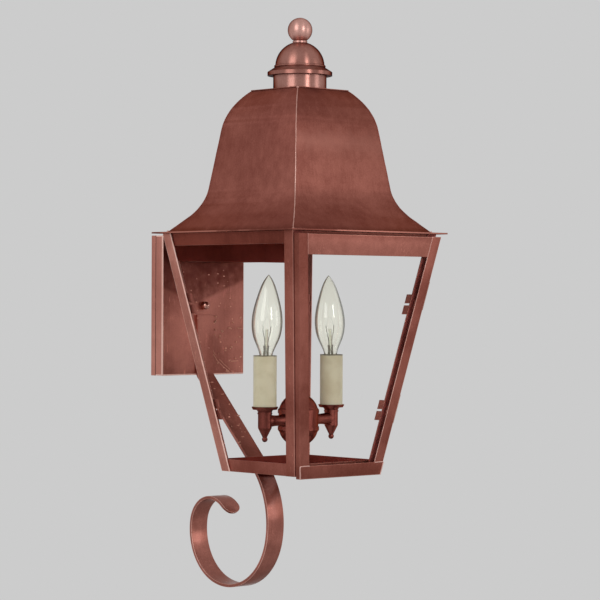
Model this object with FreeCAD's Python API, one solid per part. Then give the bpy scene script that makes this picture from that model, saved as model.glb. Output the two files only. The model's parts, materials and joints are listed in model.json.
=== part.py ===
import FreeCAD, Part
import math
import os

# Tapered copper wall lantern on a scroll bracket. Millimetres, +Z up.
# The wall is the plane y = 0, the lantern stands off it towards -Y.
# The origin is the centre of the backplate, on the wall.

V = FreeCAD.Vector
X_AXIS = V(1, 0, 0)
Y_AXIS = V(0, 1, 0)
Z_AXIS = V(0, 0, 1)

# Sheet and fits
sheet = 1.0
seat_gap = 0.05
seam_gap = 0.3

# Backplate
plate_width = 115.0
plate_height = 149.0
rear_pan_depth = 6.5
cover_depth = 12.0
plate_seam = 1.0
slot_spacing = 88.9
slot_width = 4.6
slot_length = 12.0
wire_hole_radius = 3.5
wire_hole_drop = 5.5
wall_hole_radius = 11.0
wall_hole_rise = 38.0
stud_radius = 2.4
stud_flange_radius = 6.0
stud_flange_height = 2.0
cap_nut_flats = 8.6
cap_nut_hex_height = 3.6
cap_nut_depth = 8.0

# Arm between backplate and lantern
arm_box_width = 64.0
arm_box_height = 28.0

# Lantern body, a square frustum
axis_to_wall = 170.0
body_top_width = 200.0
body_bottom_width = 112.0
body_height = 244.5
post_leg = 12.7
rail_height = 12.7
rail_lip = 10.0

# Glass and the corner clips that hold it
glass = 3.0
pane_side_inset = 5.8
clip_thickness = 0.8
clip_reach = 9.0
clip_height = 9.3
clip_pitch = 11.3
clip_upper_drop = 72.0
clip_lower_drop = 181.0

# Front door, an overlay frame
door_stand = 8.0
door_seam = 1.8
door_top_drop = 2.9
door_bottom_drop = 2.3
stile_width = 12.7
door_top_rail_height = 20.6
door_bottom_rail_height = 13.3
catch_width = 12.0
catch_reach = 9.0
catch_thickness = 0.8
catch_offset = 32.0

# Hinges on the door's right edge
hinge_length = 30.0
hinge_upper_drop = 62.0
hinge_lower_drop = 178.0
knuckle_radius = 1.75
knuckle_standoff = 1.9
knuckle_gap = 0.2
pin_radius = 0.9
pin_clearance = 0.05
pin_head_radius = 1.5
pin_head_height = 0.6
leaf_thickness = 0.8
leaf_width = 9.0

# Roof
flange_overhang = 8.0
flange_thickness = 1.5
flange_ledge = 20.0
roof_height = 145.5
roof_set_in = 12.0
roof_top_width = 70.0
flare_knee_width = 137.3
flare_knee_height = 27.4
flare_radius = 55.0
shoulder_knee_width = 106.8
shoulder_knee_height = 129.5
shoulder_radius = 66.0
top_plate_overhang = 0.6

# Chimney neck, cap and finial
neck_radius = 27.5
neck_height = 21.0
cap_clearance = 0.15
dome_radius = 25.4
dome_rise = 3.5
bead_radius = 1.2
brim_radius = 33.4
brim_edge = 3.8
brim_top_drop = 2.5
brim_skirt = 6.6
collar_radius = 7.5
collar_height = 1.8
ball_radius = 12.7
ball_sink = 1.4
finial_stud_radius = 2.5
finial_stud_length = 8.0

# Scroll strap: a tab on the backplate, a diagonal and four tangent arcs
strap_width = 22.2
strap_thickness = 3.2
strap_tab_drop = 10.0
strap_tab_length = 60.0
strap_bend_radius = 9.0
strap_lead_in = 4.5
scroll_front_radius = 85.5
scroll_front_turn = 55.4
scroll_low_radius = 64.6
scroll_low_turn = 97.3
scroll_rear_radius = 55.8
scroll_rear_turn = 80.7
scroll_curl_radius = 31.0
scroll_curl_turn = 140.0
strap_tip_radius = 10.0

# Lamp cluster
crossbar_width = 20.0
crossbar_thickness = 2.0
crossbar_seat = 8.0
stem_radius = 5.15
stem_wall = 1.5
stem_rise = 12.0
stem_entry = 6.0
nut_flats = 15.0
nut_height = 4.0
bowl_radius = 20.5
bowl_wall = 2.0
bowl_band = 13.6
cap_bead = 0.8
cap_bead_height = 3.6
cluster_drop = 191.3
lamp_arm_radius = 5.4
lamp_arm_flare = 6.6
lamp_arm_wall = 1.2
candle_clearance = 3.2

# Candle: measures up and down from the arm's axis
holder_radius = 7.0
holder_top_radius = 8.5
holder_rise = 11.7
holder_shoulder = 9.2
holder_ring = 0.6
holder_ring_height = 1.6
holder_ring_rise = 7.1
holder_foot = 7.0
holder_cone = 9.6
holder_waist = 2.2
holder_ball_radius = 2.9
spigot_radius = 4.9
spigot_height = 6.0
cup_thickness = 1.0
cup_floor_margin = 0.35
cup_rim_radius = 13.6
cup_rim_height = 2.0
sleeve_radius = 11.85
sleeve_wall = 1.4
sleeve_height = 54.1
socket_radius = 9.6
socket_drop = 6.0
bulb_base_radius = 6.1
bulb_base_length = 22.0
bulb_base_proud = 1.5
bulb_neck_radius = 6.2
bulb_belly_radius = 15.7
bulb_length = 88.5
bulb_lean = 2.4
bulb_wall = 0.8
# Between neck and tip: shares of the length and of the belly's radius
bulb_shape = ((0.09, 0.474), (0.24, 0.82), (0.41, 1.0), (0.57, 0.93), (0.76, 0.66), (0.91, 0.35))

# Derived levels and ratios
plate_depth = rear_pan_depth + cover_depth
eaves_z = plate_height / 2
bottom_z = eaves_z - body_height
taper_run = (body_top_width - body_bottom_width) / 2
taper = taper_run / body_height
stretch = math.sqrt(1 + taper * taper)
flange_width = body_top_width + 2 * flange_overhang
flange_opening = body_top_width - 2 * flange_ledge
roof_base_width = flange_width - 2 * roof_set_in
flange_top_z = eaves_z + flange_thickness
roof_top_z = flange_top_z + roof_height
neck_base_z = roof_top_z + sheet
neck_top_z = neck_base_z + neck_height
lamp_arm_z = eaves_z - cluster_drop
AXIS = V(0, -axis_to_wall, 0)
SIDES = {"back": 0, "left": 1, "front": 2, "right": 3}
CORNERS = {"back_right": 0, "back_left": 1, "front_left": 2, "front_right": 3}
nodes = {}


def half_width(z):
    """Half the body's outer width at a height."""
    return body_bottom_width / 2 + (z - bottom_z) * taper


def candle_offset():
    """From the axis to a candle, as far out as its drip cup may stand from the side pane."""
    cup_rim_z = lamp_arm_z + holder_rise + cup_thickness + cup_rim_height
    pane_depth = (2 * sheet + seat_gap + glass) * stretch
    return half_width(cup_rim_z) - pane_depth - cup_rim_radius - candle_clearance


def turned(shape, quarter_turns):
    """A copy of a shape turned about the lantern's axis."""
    copy = shape.copy()
    copy.rotate(AXIS, Z_AXIS, 90 * quarter_turns)
    return copy


def face_of(points):
    return Part.Face(Part.makePolygon(list(points) + [points[0]]))


def solid_between(low, high):
    """A flat-sided solid from a lower to an upper outline with the same number of corners."""
    count = len(low)
    faces = [face_of(low), face_of(high)]
    for i in range(count):
        j = (i + 1) % count
        faces.append(face_of([low[i], low[j], high[j], high[i]]))
    solid = Part.Solid(Part.Shell(faces))
    if solid.Volume < 0:
        solid.reverse()
    return solid


def block(x0, x1, y0, y1, z0, z1):
    return Part.makeBox(x1 - x0, y1 - y0, z1 - z0, V(x0, y0, z0))


def rod(radius, start, direction, length):
    return Part.makeCylinder(radius, length, start, direction)


def tube(radius, wall, start, direction, length):
    return rod(radius, start, direction, length).cut(rod(radius - wall, start, direction, length))


def hexagon(flats, height, base, direction):
    """A hexagonal prism standing on a point."""
    corner = flats / math.sqrt(3)
    prism = Part.Face(Part.makePolygon([
        V(corner * math.cos(math.radians(60 * i)), corner * math.sin(math.radians(60 * i)), 0)
        for i in range(7)])).extrude(V(0, 0, height))
    prism.Placement = FreeCAD.Placement(base, FreeCAD.Rotation(Z_AXIS, direction))
    return prism


def revolved(edges, centre):
    """A full turn of a closed outline given in (radius, height) on the XZ plane."""
    face = Part.Face(Part.Wire(edges))
    solid = face.revolve(V(0, 0, 0), Z_AXIS, 360)
    solid.translate(centre)
    return solid


def line(a, b):
    return Part.makeLine(V(a[0], 0, a[1]), V(b[0], 0, b[1]))


def arc(a, middle, b):
    return Part.Arc(V(a[0], 0, a[1]), V(middle[0], 0, middle[1]), V(b[0], 0, b[1])).toShape()


def lines(points):
    return [line(a, b) for a, b in zip(points, points[1:])]


def wall_slab(z0, z1, side_inset, outer, inner):
    """A sloped slab of the body's back wall, set in from its faces by sheet depths."""
    def outline(z):
        half = half_width(z) - side_inset * stretch
        far = half_width(z) - outer * stretch - axis_to_wall
        near = half_width(z) - inner * stretch - axis_to_wall
        return [V(-half, near, z), V(half, near, z), V(half, far, z), V(-half, far, z)]
    return solid_between(outline(z0), outline(z1))


def corner_piece(insets, z0, z1):
    """An outline given as insets from the two faces, run along the back right corner."""
    def outline(z):
        half = half_width(z)
        return [V(half - a * stretch, half - b * stretch - axis_to_wall, z) for a, b in insets]
    return solid_between(outline(z0), outline(z1))


def door_slab(z0, z1, side_inset, front, back):
    """A sloped slab of the door, set in from its sides and back from its front face."""
    def outline(z):
        half = half_width(z) - side_inset
        front_y = -axis_to_wall - half_width(z) - door_stand + front
        back_y = -axis_to_wall - half_width(z) - door_stand + back
        return [V(-half, front_y, z), V(half, front_y, z), V(half, back_y, z), V(-half, back_y, z)]
    return solid_between(outline(z0), outline(z1))


def make_backplate():
    """Rear pan with its slots, stud, front cover and cap nut."""
    half_w = plate_width / 2
    half_h = plate_height / 2
    back = block(-half_w, half_w, -rear_pan_depth, 0, -half_h, half_h)
    hollow = block(-half_w + sheet, half_w - sheet, -rear_pan_depth, -sheet,
                   -half_h + sheet, half_h - sheet)
    pan = back.cut(hollow)
    for side in (-1, 1):
        x = side * slot_spacing / 2
        run = (slot_length - slot_width) / 2
        cut = block(x - run, x + run, -sheet, 0, -slot_width / 2, slot_width / 2)
        for end in (-1, 1):
            cut = cut.fuse(rod(slot_width / 2, V(x + end * run, -sheet, 0), Y_AXIS, sheet))
        pan = pan.cut(cut)
    pan = pan.cut(rod(wall_hole_radius, V(0, -sheet, wall_hole_rise), Y_AXIS, sheet))
    nodes["plate_rear"] = pan

    nut_tip_y = -plate_depth - cap_nut_depth
    stud_end_y = nut_tip_y + 2 * sheet
    stud = rod(stud_flange_radius, V(0, -sheet - stud_flange_height, 0), Y_AXIS, stud_flange_height)
    nodes["plate_stud"] = stud.fuse(rod(stud_radius, V(0, stud_end_y, 0), Y_AXIS, -sheet - stud_end_y))

    rim_y = -rear_pan_depth - plate_seam
    shell = block(-half_w, half_w, -plate_depth, rim_y, -half_h, half_h)
    inside = block(-half_w + sheet, half_w - sheet, -plate_depth + sheet, rim_y,
                   -half_h + sheet, half_h - sheet)
    stud_hole = rod(stud_radius + seam_gap, V(0, -plate_depth, 0), Y_AXIS, sheet)
    nodes["plate_cover"] = shell.cut(inside).cut(stud_hole).cut(wire_hole(-plate_depth, sheet))

    outward = V(0, -1, 0)
    seat = V(0, -plate_depth, 0)
    dome_radius_y = cap_nut_depth - cap_nut_hex_height
    dome = Part.makeSphere(cap_nut_flats / 2)
    squash = FreeCAD.Matrix()
    squash.scale(1, dome_radius_y / (cap_nut_flats / 2), 1)
    dome = dome.transformGeometry(squash)
    dome.translate(seat + outward * cap_nut_hex_height)
    below = block(-cap_nut_flats, cap_nut_flats, -plate_depth - cap_nut_hex_height, 0,
                  -cap_nut_flats, cap_nut_flats)
    nut = hexagon(cap_nut_flats, cap_nut_hex_height, seat, outward).fuse(dome.cut(below))
    bore_length = -plate_depth - stud_end_y + seam_gap
    nodes["cap_nut"] = nut.cut(rod(stud_radius + seat_gap, seat, outward, bore_length))


def wire_hole(y, depth):
    """The wire's way through a wall, high up in the box arm."""
    return rod(wire_hole_radius, V(0, y, eaves_z - wire_hole_drop), Y_AXIS, depth)


def make_arm_box():
    half = arm_box_width / 2
    floor_z = eaves_z - arm_box_height
    reach_y = -axis_to_wall + body_bottom_width / 2
    outer = block(-half, half, reach_y, -plate_depth, floor_z, eaves_z)
    inner = block(-half + sheet, half - sheet, reach_y, -plate_depth, floor_z + sheet, eaves_z - sheet)
    lantern = wall_slab(floor_z - sheet, eaves_z + sheet, sheet, sheet, body_bottom_width / 2)
    nodes["arm_box"] = outer.cut(inner).cut(lantern)


def strip_section(start, heading, moves, thickness):
    """A bent flat bar's side view in YZ: moves are (length,) or (radius, turn in degrees)."""
    half = thickness / 2
    position = start
    edges = ([], [])

    def across(angle, offset):
        return V(0, -math.sin(angle) * offset, math.cos(angle) * offset)

    for move in moves:
        if len(move) == 1:
            step = V(0, math.cos(heading), math.sin(heading)) * move[0]
            for side, offset in enumerate((half, -half)):
                a = position + across(heading, offset)
                edges[side].append(Part.makeLine(a, a + step))
            position = position + step
            continue
        radius, turn = move[0], math.radians(move[1])
        way = 1 if turn > 0 else -1
        centre = position + across(heading, way * radius)
        for side, offset in enumerate((half, -half)):
            reach = offset - way * radius
            points = [centre + across(heading + turn * share, reach) for share in (0, 0.5, 1)]
            edges[side].append(Part.Arc(*points).toShape())
        heading += turn
        position = centre + across(heading, -way * radius)
    first = [edges[0][0].Vertexes[0].Point, edges[1][0].Vertexes[0].Point]
    last = [edges[0][-1].Vertexes[-1].Point, edges[1][-1].Vertexes[-1].Point]
    caps = [Part.makeLine(*first), Part.makeLine(*last)]
    wire = Part.Wire(Part.__sortEdges__(edges[0] + edges[1] + caps))
    return Part.Face(wire), position, heading


def make_strap():
    """The diagonal's slope is the one that lays its upper face on the back rail's lower edge."""
    half = strap_thickness / 2
    start = V(0, -plate_depth - half, -strap_tab_drop)
    bend_centre = start + V(0, -strap_bend_radius, -strap_tab_length)
    rail_edge = V(0, -axis_to_wall + body_bottom_width / 2 - sheet * stretch, bottom_z)
    reach = rail_edge - bend_centre
    slope = math.atan2(reach.z, reach.y) + math.asin((half - strap_bend_radius) / reach.Length)
    bend = math.degrees(slope) + 360 - 270
    along = V(0, math.cos(slope), math.sin(slope))
    diagonal = reach.dot(along) - strap_lead_in
    moves = [(strap_tab_length,), (strap_bend_radius, bend), (diagonal,),
             (scroll_front_radius, scroll_front_turn), (scroll_low_radius, scroll_low_turn),
             (scroll_rear_radius, scroll_rear_turn), (scroll_curl_radius, scroll_curl_turn)]
    side, tip, heading = strip_section(start, math.radians(270), moves, strap_thickness)
    side.translate(V(-strap_width / 2, 0, 0))
    strap = side.extrude(V(strap_width, 0, 0))
    tip_edges = []
    for edge in strap.Edges:
        middle = edge.CenterOfMass
        near_tip = V(0, middle.y, middle.z).distanceToPoint(tip) < seam_gap
        if near_tip and edge.Length < 2 * strap_thickness:
            tip_edges.append(edge)
    nodes["scroll_strap"] = strap.makeFillet(strap_tip_radius, tip_edges)


def make_frame():
    """Corner angles and the rails lapped behind them."""
    angle = [(0, 0), (post_leg, 0), (post_leg, sheet), (sheet, sheet), (sheet, post_leg), (0, post_leg)]
    post = corner_piece(angle, bottom_z, eaves_z)
    for name, turns in CORNERS.items():
        nodes["post_" + name] = turned(post, turns)

    lip_inner = 2 * sheet + rail_lip
    for name, turns in SIDES.items():
        crosswise = name in ("front", "back")
        leg_inset = 2 * sheet if crosswise else sheet
        lip_inset = lip_inner if crosswise else 2 * sheet
        height = arm_box_height if name == "back" else rail_height
        leg = wall_slab(eaves_z - height, eaves_z, leg_inset, sheet, 2 * sheet)
        lip = wall_slab(eaves_z - sheet, eaves_z, lip_inset, sheet, lip_inner)
        rail = leg.fuse(lip).removeSplitter()
        if name == "back":
            rail = rail.cut(wire_hole(-axis_to_wall, axis_to_wall))
        nodes["top_rail_" + name] = turned(rail, turns)
        leg = wall_slab(bottom_z, bottom_z + rail_height, leg_inset, sheet, 2 * sheet)
        lip = wall_slab(bottom_z, bottom_z + sheet, lip_inset, sheet, lip_inner)
        nodes["bottom_rail_" + name] = turned(leg.fuse(lip).removeSplitter(), turns)


def make_glass():
    """Three loose panes behind the rails, and the bent tabs that hold them in the corners."""
    outer = 2 * sheet + seat_gap
    inner = outer + glass
    low = bottom_z + sheet + seat_gap
    high = eaves_z - 2 * sheet
    pane = wall_slab(low, high, pane_side_inset, outer, inner)
    for name in ("left", "right", "back"):
        nodes["glass_" + name] = turned(pane, SIDES[name])

    face = inner + seat_gap
    root = pane_side_inset - 3 * seat_gap
    tip = root + clip_reach
    back = face + clip_thickness
    both = [(sheet, sheet), (root, sheet), (root, face), (tip, face), (tip, back), (back, back),
            (back, tip), (face, tip), (face, root), (sheet, root)]
    one = [(sheet, sheet), (root, sheet), (root, face), (back, face), (back, tip), (face, tip),
           (face, root), (sheet, root)]
    other = [(b, a) for a, b in reversed(one)]
    forms = {"back_right": both, "back_left": both, "front_left": one, "front_right": other}
    clips = []
    for drop in (clip_upper_drop, clip_lower_drop):
        for place in (-0.5, 0.5):
            middle = eaves_z - drop + place * clip_pitch
            for name, turns in CORNERS.items():
                clip = corner_piece(forms[name], middle - clip_height / 2, middle + clip_height / 2)
                clips.append(turned(clip, turns))
    nodes["glass_clips"] = Part.makeCompound(clips)


def make_door():
    top = eaves_z - door_top_drop
    bottom = bottom_z - door_bottom_drop
    stile_foot = bottom + door_bottom_rail_height
    depth = door_stand - door_seam
    wall = sheet * stretch
    across = 2 * body_top_width
    left_half = block(-across, 0, -across - axis_to_wall, 0, bottom_z - across, across)
    right_half = block(0, across, -across - axis_to_wall, 0, bottom_z - across, across)

    tray = door_slab(stile_foot, top, 0, 0, depth)
    tray = tray.cut(door_slab(stile_foot, top, wall, wall, depth))
    stiles = tray.cut(door_slab(stile_foot, top, stile_width, 0, depth))
    nodes["door_stile_left"] = stiles.common(left_half)
    nodes["door_stile_right"] = stiles.common(right_half)

    rail = door_slab(top - door_top_rail_height, top, stile_width, 0, depth)
    hollow = door_slab(top - door_top_rail_height, top - sheet, stile_width, wall, depth)
    nodes["door_top_rail"] = rail.cut(hollow)

    rail = door_slab(bottom, stile_foot, 0, 0, depth)
    hollow = door_slab(bottom + sheet, stile_foot, wall, wall, depth)
    nodes["door_bottom_rail"] = rail.cut(hollow)

    front = wall + seat_gap
    back = front + glass * stretch
    low = bottom + sheet + seat_gap
    nodes["door_glass"] = door_slab(low, top - 2 * sheet, wall + seam_gap, front, back)

    clip_front = back + seat_gap
    clip_back = clip_front + clip_thickness
    clips = []
    for drop in (clip_upper_drop, clip_lower_drop):
        z0 = eaves_z - drop - clip_height / 2
        z1 = z0 + clip_height
        flat = door_slab(z0, z1, wall, clip_front, clip_back)
        flat = flat.cut(door_slab(z0, z1, wall + clip_reach, clip_front, clip_back))
        foot = door_slab(z0, z1, wall, clip_front, depth)
        foot = foot.cut(door_slab(z0, z1, wall + clip_thickness, clip_front, depth))
        pair = flat.fuse(foot).removeSplitter()
        clips += [pair.common(left_half), pair.common(right_half)]
    nodes["door_glass_clips"] = Part.makeCompound([solid for clip in clips for solid in clip.Solids])

    rail_back_y = -axis_to_wall - half_width(bottom) - door_stand + depth
    seat_y = -axis_to_wall - half_width(bottom + sheet) - door_stand + back + seat_gap
    catch = block(-catch_offset - catch_width / 2, -catch_offset + catch_width / 2,
                  seat_y, rail_back_y + catch_reach, bottom + sheet, bottom + sheet + catch_thickness)
    nodes["door_catch"] = catch


def hinge_axis(z):
    """A point on the pin's line and the directions along, out of the side and along the side."""
    along = V(taper, -taper, 1).normalize()
    out = V(1, 0, -taper).normalize()
    back = out.cross(along).normalize()
    if back.y < 0:
        back = back * -1
    corner = V(half_width(z), -axis_to_wall - half_width(z), z)
    return corner, along, out, back


def plate_on_side(corner, along, out, back, start, end, length):
    """A leaf on the lantern's right side, between two distances back from the corner's edge."""
    points = []
    for step in ((start, 0), (end, 0), (end, leaf_thickness), (start, leaf_thickness)):
        points.append(corner + back * step[0] + out * step[1] - along * (length / 2))
    return face_of(points).extrude(along * length)


def make_hinges():
    frame_leaves = []
    door_leaves = []
    pins = []
    segment = hinge_length / 3
    for drop in (hinge_upper_drop, hinge_lower_drop):
        corner, along, out, back = hinge_axis(eaves_z - drop)
        centre = corner + out * knuckle_standoff - back * (door_seam / 2)

        def cylinder(radius, low, high):
            return rod(radius, centre + along * low, along, high - low)

        ends = [(-hinge_length / 2, -segment / 2 - knuckle_gap),
                (segment / 2 + knuckle_gap, hinge_length / 2)]
        middle = (-segment / 2, segment / 2)
        bore = cylinder(pin_radius + pin_clearance, -hinge_length, hinge_length)
        clear = knuckle_radius + seam_gap

        leaf = plate_on_side(corner, along, out, back, -seam_gap, leaf_width, hinge_length)
        leaf = leaf.cut(cylinder(clear, middle[0] - knuckle_gap, middle[1] + knuckle_gap))
        for low, high in ends:
            leaf = leaf.fuse(cylinder(knuckle_radius, low, high))
        frame_leaves.append(leaf.cut(bore))

        door_edge = -door_seam + seam_gap
        leaf = plate_on_side(corner, along, out, back, -door_stand + sheet, door_edge, hinge_length)
        for low, high in ends:
            leaf = leaf.cut(cylinder(clear, low - knuckle_gap, high + knuckle_gap))
        leaf = leaf.fuse(cylinder(knuckle_radius, *middle))
        door_leaves.append(leaf.cut(bore))

        tip = hinge_length / 2 + pin_clearance
        pin = cylinder(pin_radius, -tip, tip)
        pin = pin.fuse(cylinder(pin_head_radius, tip, tip + pin_head_height))
        pins.append(pin.fuse(cylinder(pin_head_radius, -tip - pin_head_height, -tip)))
    nodes["hinge_frame_leaves"] = Part.makeCompound([s for leaf in frame_leaves for s in leaf.Solids])
    nodes["hinge_door_leaves"] = Part.makeCompound([s for leaf in door_leaves for s in leaf.Solids])
    nodes["hinge_pins"] = Part.makeCompound([s for pin in pins for s in pin.Solids])


def rounded_path(points, radii):
    """Edges of an open path in XZ with its inner corners rounded."""
    edges = []
    start = points[0]
    for i, radius in enumerate(radii):
        corner = points[i + 1]
        before = (points[i] - corner).normalize()
        after = (points[i + 2] - corner).normalize()
        half_turn = before.getAngle(after) / 2
        run = radius / math.tan(half_turn)
        a = corner + before * run
        b = corner + after * run
        inward = (before + after).normalize()
        middle = corner + inward * (radius / math.sin(half_turn) - radius)
        edges += [Part.makeLine(start, a), Part.Arc(a, middle, b).toShape()]
        start = b
    edges.append(Part.makeLine(start, points[-1]))
    return edges


def shifted(points, distance):
    """The same open path moved sideways, corner by corner."""
    def normal(a, b):
        step = (b - a).normalize()
        return V(step.z, 0, -step.x)
    moved = [points[0] + normal(points[0], points[1]) * distance]
    for a, b, c in zip(points, points[1:], points[2:]):
        n1, n2 = normal(a, b), normal(b, c)
        bisector = n1 + n2
        moved.append(b + bisector * (distance / (1 + n1.dot(n2))))
    moved.append(points[-1] + normal(points[-2], points[-1]) * distance)
    return moved


def make_roof():
    opening = flange_opening / 2
    edge = flange_width / 2
    plate = block(-edge, edge, -axis_to_wall - edge, -axis_to_wall + edge, eaves_z, flange_top_z)
    hole = block(-opening, opening, -axis_to_wall - opening, -axis_to_wall + opening, eaves_z, flange_top_z)
    nodes["roof_flange"] = plate.cut(hole)

    base = V(roof_base_width / 2, 0, 0)
    flare = V(flare_knee_width / 2, 0, flare_knee_height)
    shoulder = V(shoulder_knee_width / 2, 0, shoulder_knee_height)
    top = V(roof_top_width / 2, 0, roof_height)
    spare = 2 * sheet
    base = base + (base - flare).normalize() * spare
    top = top + (top - shoulder).normalize() * spare
    outer = [base, flare, shoulder, top]
    inner = shifted(outer, -sheet)
    outline = rounded_path(outer, (flare_radius, shoulder_radius))
    outline += rounded_path(inner, (flare_radius + sheet, shoulder_radius - sheet))
    outline += [Part.makeLine(outer[0], inner[0]), Part.makeLine(outer[-1], inner[-1])]
    section = Part.Face(Part.Wire(Part.__sortEdges__(outline)))
    section.rotate(V(0, 0, 0), Z_AXIS, 90)
    section.translate(V(-flange_width, -axis_to_wall, flange_top_z))
    swept = section.extrude(V(2 * flange_width, 0, 0))
    mitre = face_of([V(0, -axis_to_wall, flange_top_z),
                     V(flange_width, flange_width - axis_to_wall, flange_top_z),
                     V(-flange_width, flange_width - axis_to_wall, flange_top_z)])
    panel = swept.common(mitre.extrude(V(0, 0, roof_height)))
    for name, turns in SIDES.items():
        nodes["roof_panel_" + name] = turned(panel, turns)

    half = roof_top_width / 2 + top_plate_overhang
    nodes["roof_top_plate"] = block(-half, half, -axis_to_wall - half, -axis_to_wall + half,
                                    roof_top_z, neck_base_z)


def make_chimney():
    nodes["chimney_neck"] = tube(neck_radius, sheet, AXIS + V(0, 0, neck_base_z), Z_AXIS, neck_height)

    # The cap's outline starts at the hole in its crown and is given from the neck's top.
    crown = dome_rise + math.sqrt(dome_radius ** 2 - collar_radius ** 2)
    lean = math.radians(45)
    inner_dome = dome_radius - sheet
    hole = finial_stud_radius + seat_gap
    inner_crown = dome_rise + math.sqrt(inner_dome ** 2 - hole ** 2)
    bore = neck_radius + cap_clearance
    bead_top = dome_rise + bead_radius
    outline = [
        line((hole, crown), (collar_radius, crown)),
        arc((collar_radius, crown),
            (dome_radius * math.cos(lean), dome_rise + dome_radius * math.sin(lean)),
            (math.sqrt(dome_radius ** 2 - bead_radius ** 2), bead_top)),
        arc((math.sqrt(dome_radius ** 2 - bead_radius ** 2), bead_top),
            (dome_radius + bead_radius, dome_rise),
            (dome_radius + bead_radius / 2, dome_rise - bead_radius)),
    ]
    brim = [(dome_radius + bead_radius / 2, dome_rise - bead_radius),
            (brim_radius, -brim_top_drop), (brim_radius, -brim_top_drop - brim_edge),
            (bore, -brim_skirt), (bore, 0), (inner_dome, 0), (inner_dome, dome_rise)]
    outline += lines(brim)
    outline.append(arc((inner_dome, dome_rise),
                       (inner_dome * math.cos(lean), dome_rise + inner_dome * math.sin(lean)),
                       (hole, inner_crown)))
    outline.append(line((hole, inner_crown), (hole, crown)))
    nodes["vent_cap"] = revolved(outline, AXIS + V(0, 0, neck_top_z))

    collar_top = collar_height
    ball_z = collar_top + ball_radius - ball_sink
    joint = math.sqrt(ball_radius ** 2 - (ball_z - collar_top) ** 2)
    outline = lines([(0, ball_z + ball_radius), (0, -finial_stud_length),
                     (finial_stud_radius, -finial_stud_length), (finial_stud_radius, 0),
                     (collar_radius, 0), (collar_radius, collar_top), (joint, collar_top)])
    outline.append(arc((joint, collar_top), (ball_radius, ball_z), (0, ball_z + ball_radius)))
    nodes["finial"] = revolved(outline, AXIS + V(0, 0, neck_top_z + crown))


def make_cluster():
    """Crossbar under the roof, stem, two-part body and the arms to the candles."""
    half = flange_opening / 2 + crossbar_seat
    bar_top = flange_top_z + crossbar_thickness
    bar = block(-half, half, -axis_to_wall - crossbar_width / 2, -axis_to_wall + crossbar_width / 2,
                flange_top_z, bar_top)
    stem_hole = stem_radius + seat_gap
    nodes["crossbar"] = bar.cut(rod(stem_hole, AXIS + V(0, 0, flange_top_z), Z_AXIS, crossbar_thickness))

    band_top = lamp_arm_z + bowl_band / 2
    band_low = lamp_arm_z - bowl_band / 2
    cap_top = band_top + bowl_radius - sheet
    stem_low = cap_top - stem_entry
    stem_top = bar_top + stem_rise
    nodes["stem"] = tube(stem_radius, stem_wall, AXIS + V(0, 0, stem_low), Z_AXIS, stem_top - stem_low)

    nuts = []
    for z in (bar_top, flange_top_z - nut_height, cap_top):
        nut = hexagon(nut_flats, nut_height, AXIS + V(0, 0, z), Z_AXIS)
        nuts.append(nut.cut(rod(stem_hole, AXIS + V(0, 0, z), Z_AXIS, nut_height)))
    nodes["stem_nuts"] = Part.makeCompound(nuts)

    inner = bowl_radius - bowl_wall
    diagonal = math.sqrt(0.5)
    bead = bowl_radius + cap_bead
    step_radius = bowl_radius - cap_bead
    step = math.sqrt(bowl_radius ** 2 - step_radius ** 2)
    outline = [
        line((0, -bowl_radius), (0, -inner)),
        arc((0, -inner), (inner * diagonal, -inner * diagonal), (inner, 0)),
    ]
    outline += lines([(inner, 0), (inner, bowl_band), (bowl_radius, bowl_band), (bowl_radius, 0),
                      (bead, 0), (bead, -cap_bead_height), (step_radius, -step)])
    outline.append(arc((step_radius, -step), (bowl_radius * diagonal, -bowl_radius * diagonal),
                       (0, -bowl_radius)))
    bowl = revolved(outline, AXIS + V(0, 0, band_low))
    wireway_start = AXIS + V(-2 * bowl_radius, 0, lamp_arm_z)
    wireway = rod(lamp_arm_radius - lamp_arm_wall, wireway_start, X_AXIS, 4 * bowl_radius)
    nodes["cluster_bowl"] = bowl.cut(wireway)

    crown = bowl_radius - sheet
    crown_radius = math.sqrt(bowl_radius ** 2 - crown ** 2)
    inner_crown = math.sqrt(inner ** 2 - stem_hole ** 2)
    outline = lines([(inner, 0), (bead, 0), (bead, cap_bead_height), (step_radius, step)])
    outline += [
        arc((step_radius, step), (bowl_radius * diagonal, bowl_radius * diagonal),
            (crown_radius, crown)),
        line((crown_radius, crown), (stem_hole, crown)),
        line((stem_hole, crown), (stem_hole, inner_crown)),
        arc((stem_hole, inner_crown), (inner * diagonal, inner * diagonal), (inner, 0)),
    ]
    nodes["cluster_cap"] = revolved(outline, AXIS + V(0, 0, band_top))

    # An arm is a turned tube, waisted in the middle, saddled onto the body and the holder.
    reach = candle_offset()
    near = step_radius
    far = reach - holder_radius + sheet
    bore = lamp_arm_radius - lamp_arm_wall
    outline = lines([(lamp_arm_flare, far), (lamp_arm_flare, reach), (bore, reach), (bore, 0),
                     (lamp_arm_flare, 0), (lamp_arm_flare, near)])
    outline.append(arc((lamp_arm_flare, near), (lamp_arm_radius, (near + far) / 2), (lamp_arm_flare, far)))
    bowl_core = rod(bowl_radius, AXIS + V(0, 0, lamp_arm_z - reach), Z_AXIS, 2 * reach)
    for name, side in (("left", -1), ("right", 1)):
        arm = revolved(outline, V(0, 0, 0))
        arm.rotate(V(0, 0, 0), Y_AXIS, 90 * side)
        arm.translate(AXIS + V(0, 0, lamp_arm_z))
        post = rod(holder_radius, AXIS + V(side * reach, 0, lamp_arm_z - reach), Z_AXIS, 2 * reach)
        nodes["arm_" + name] = arm.cut(bowl_core).cut(post)


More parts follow.
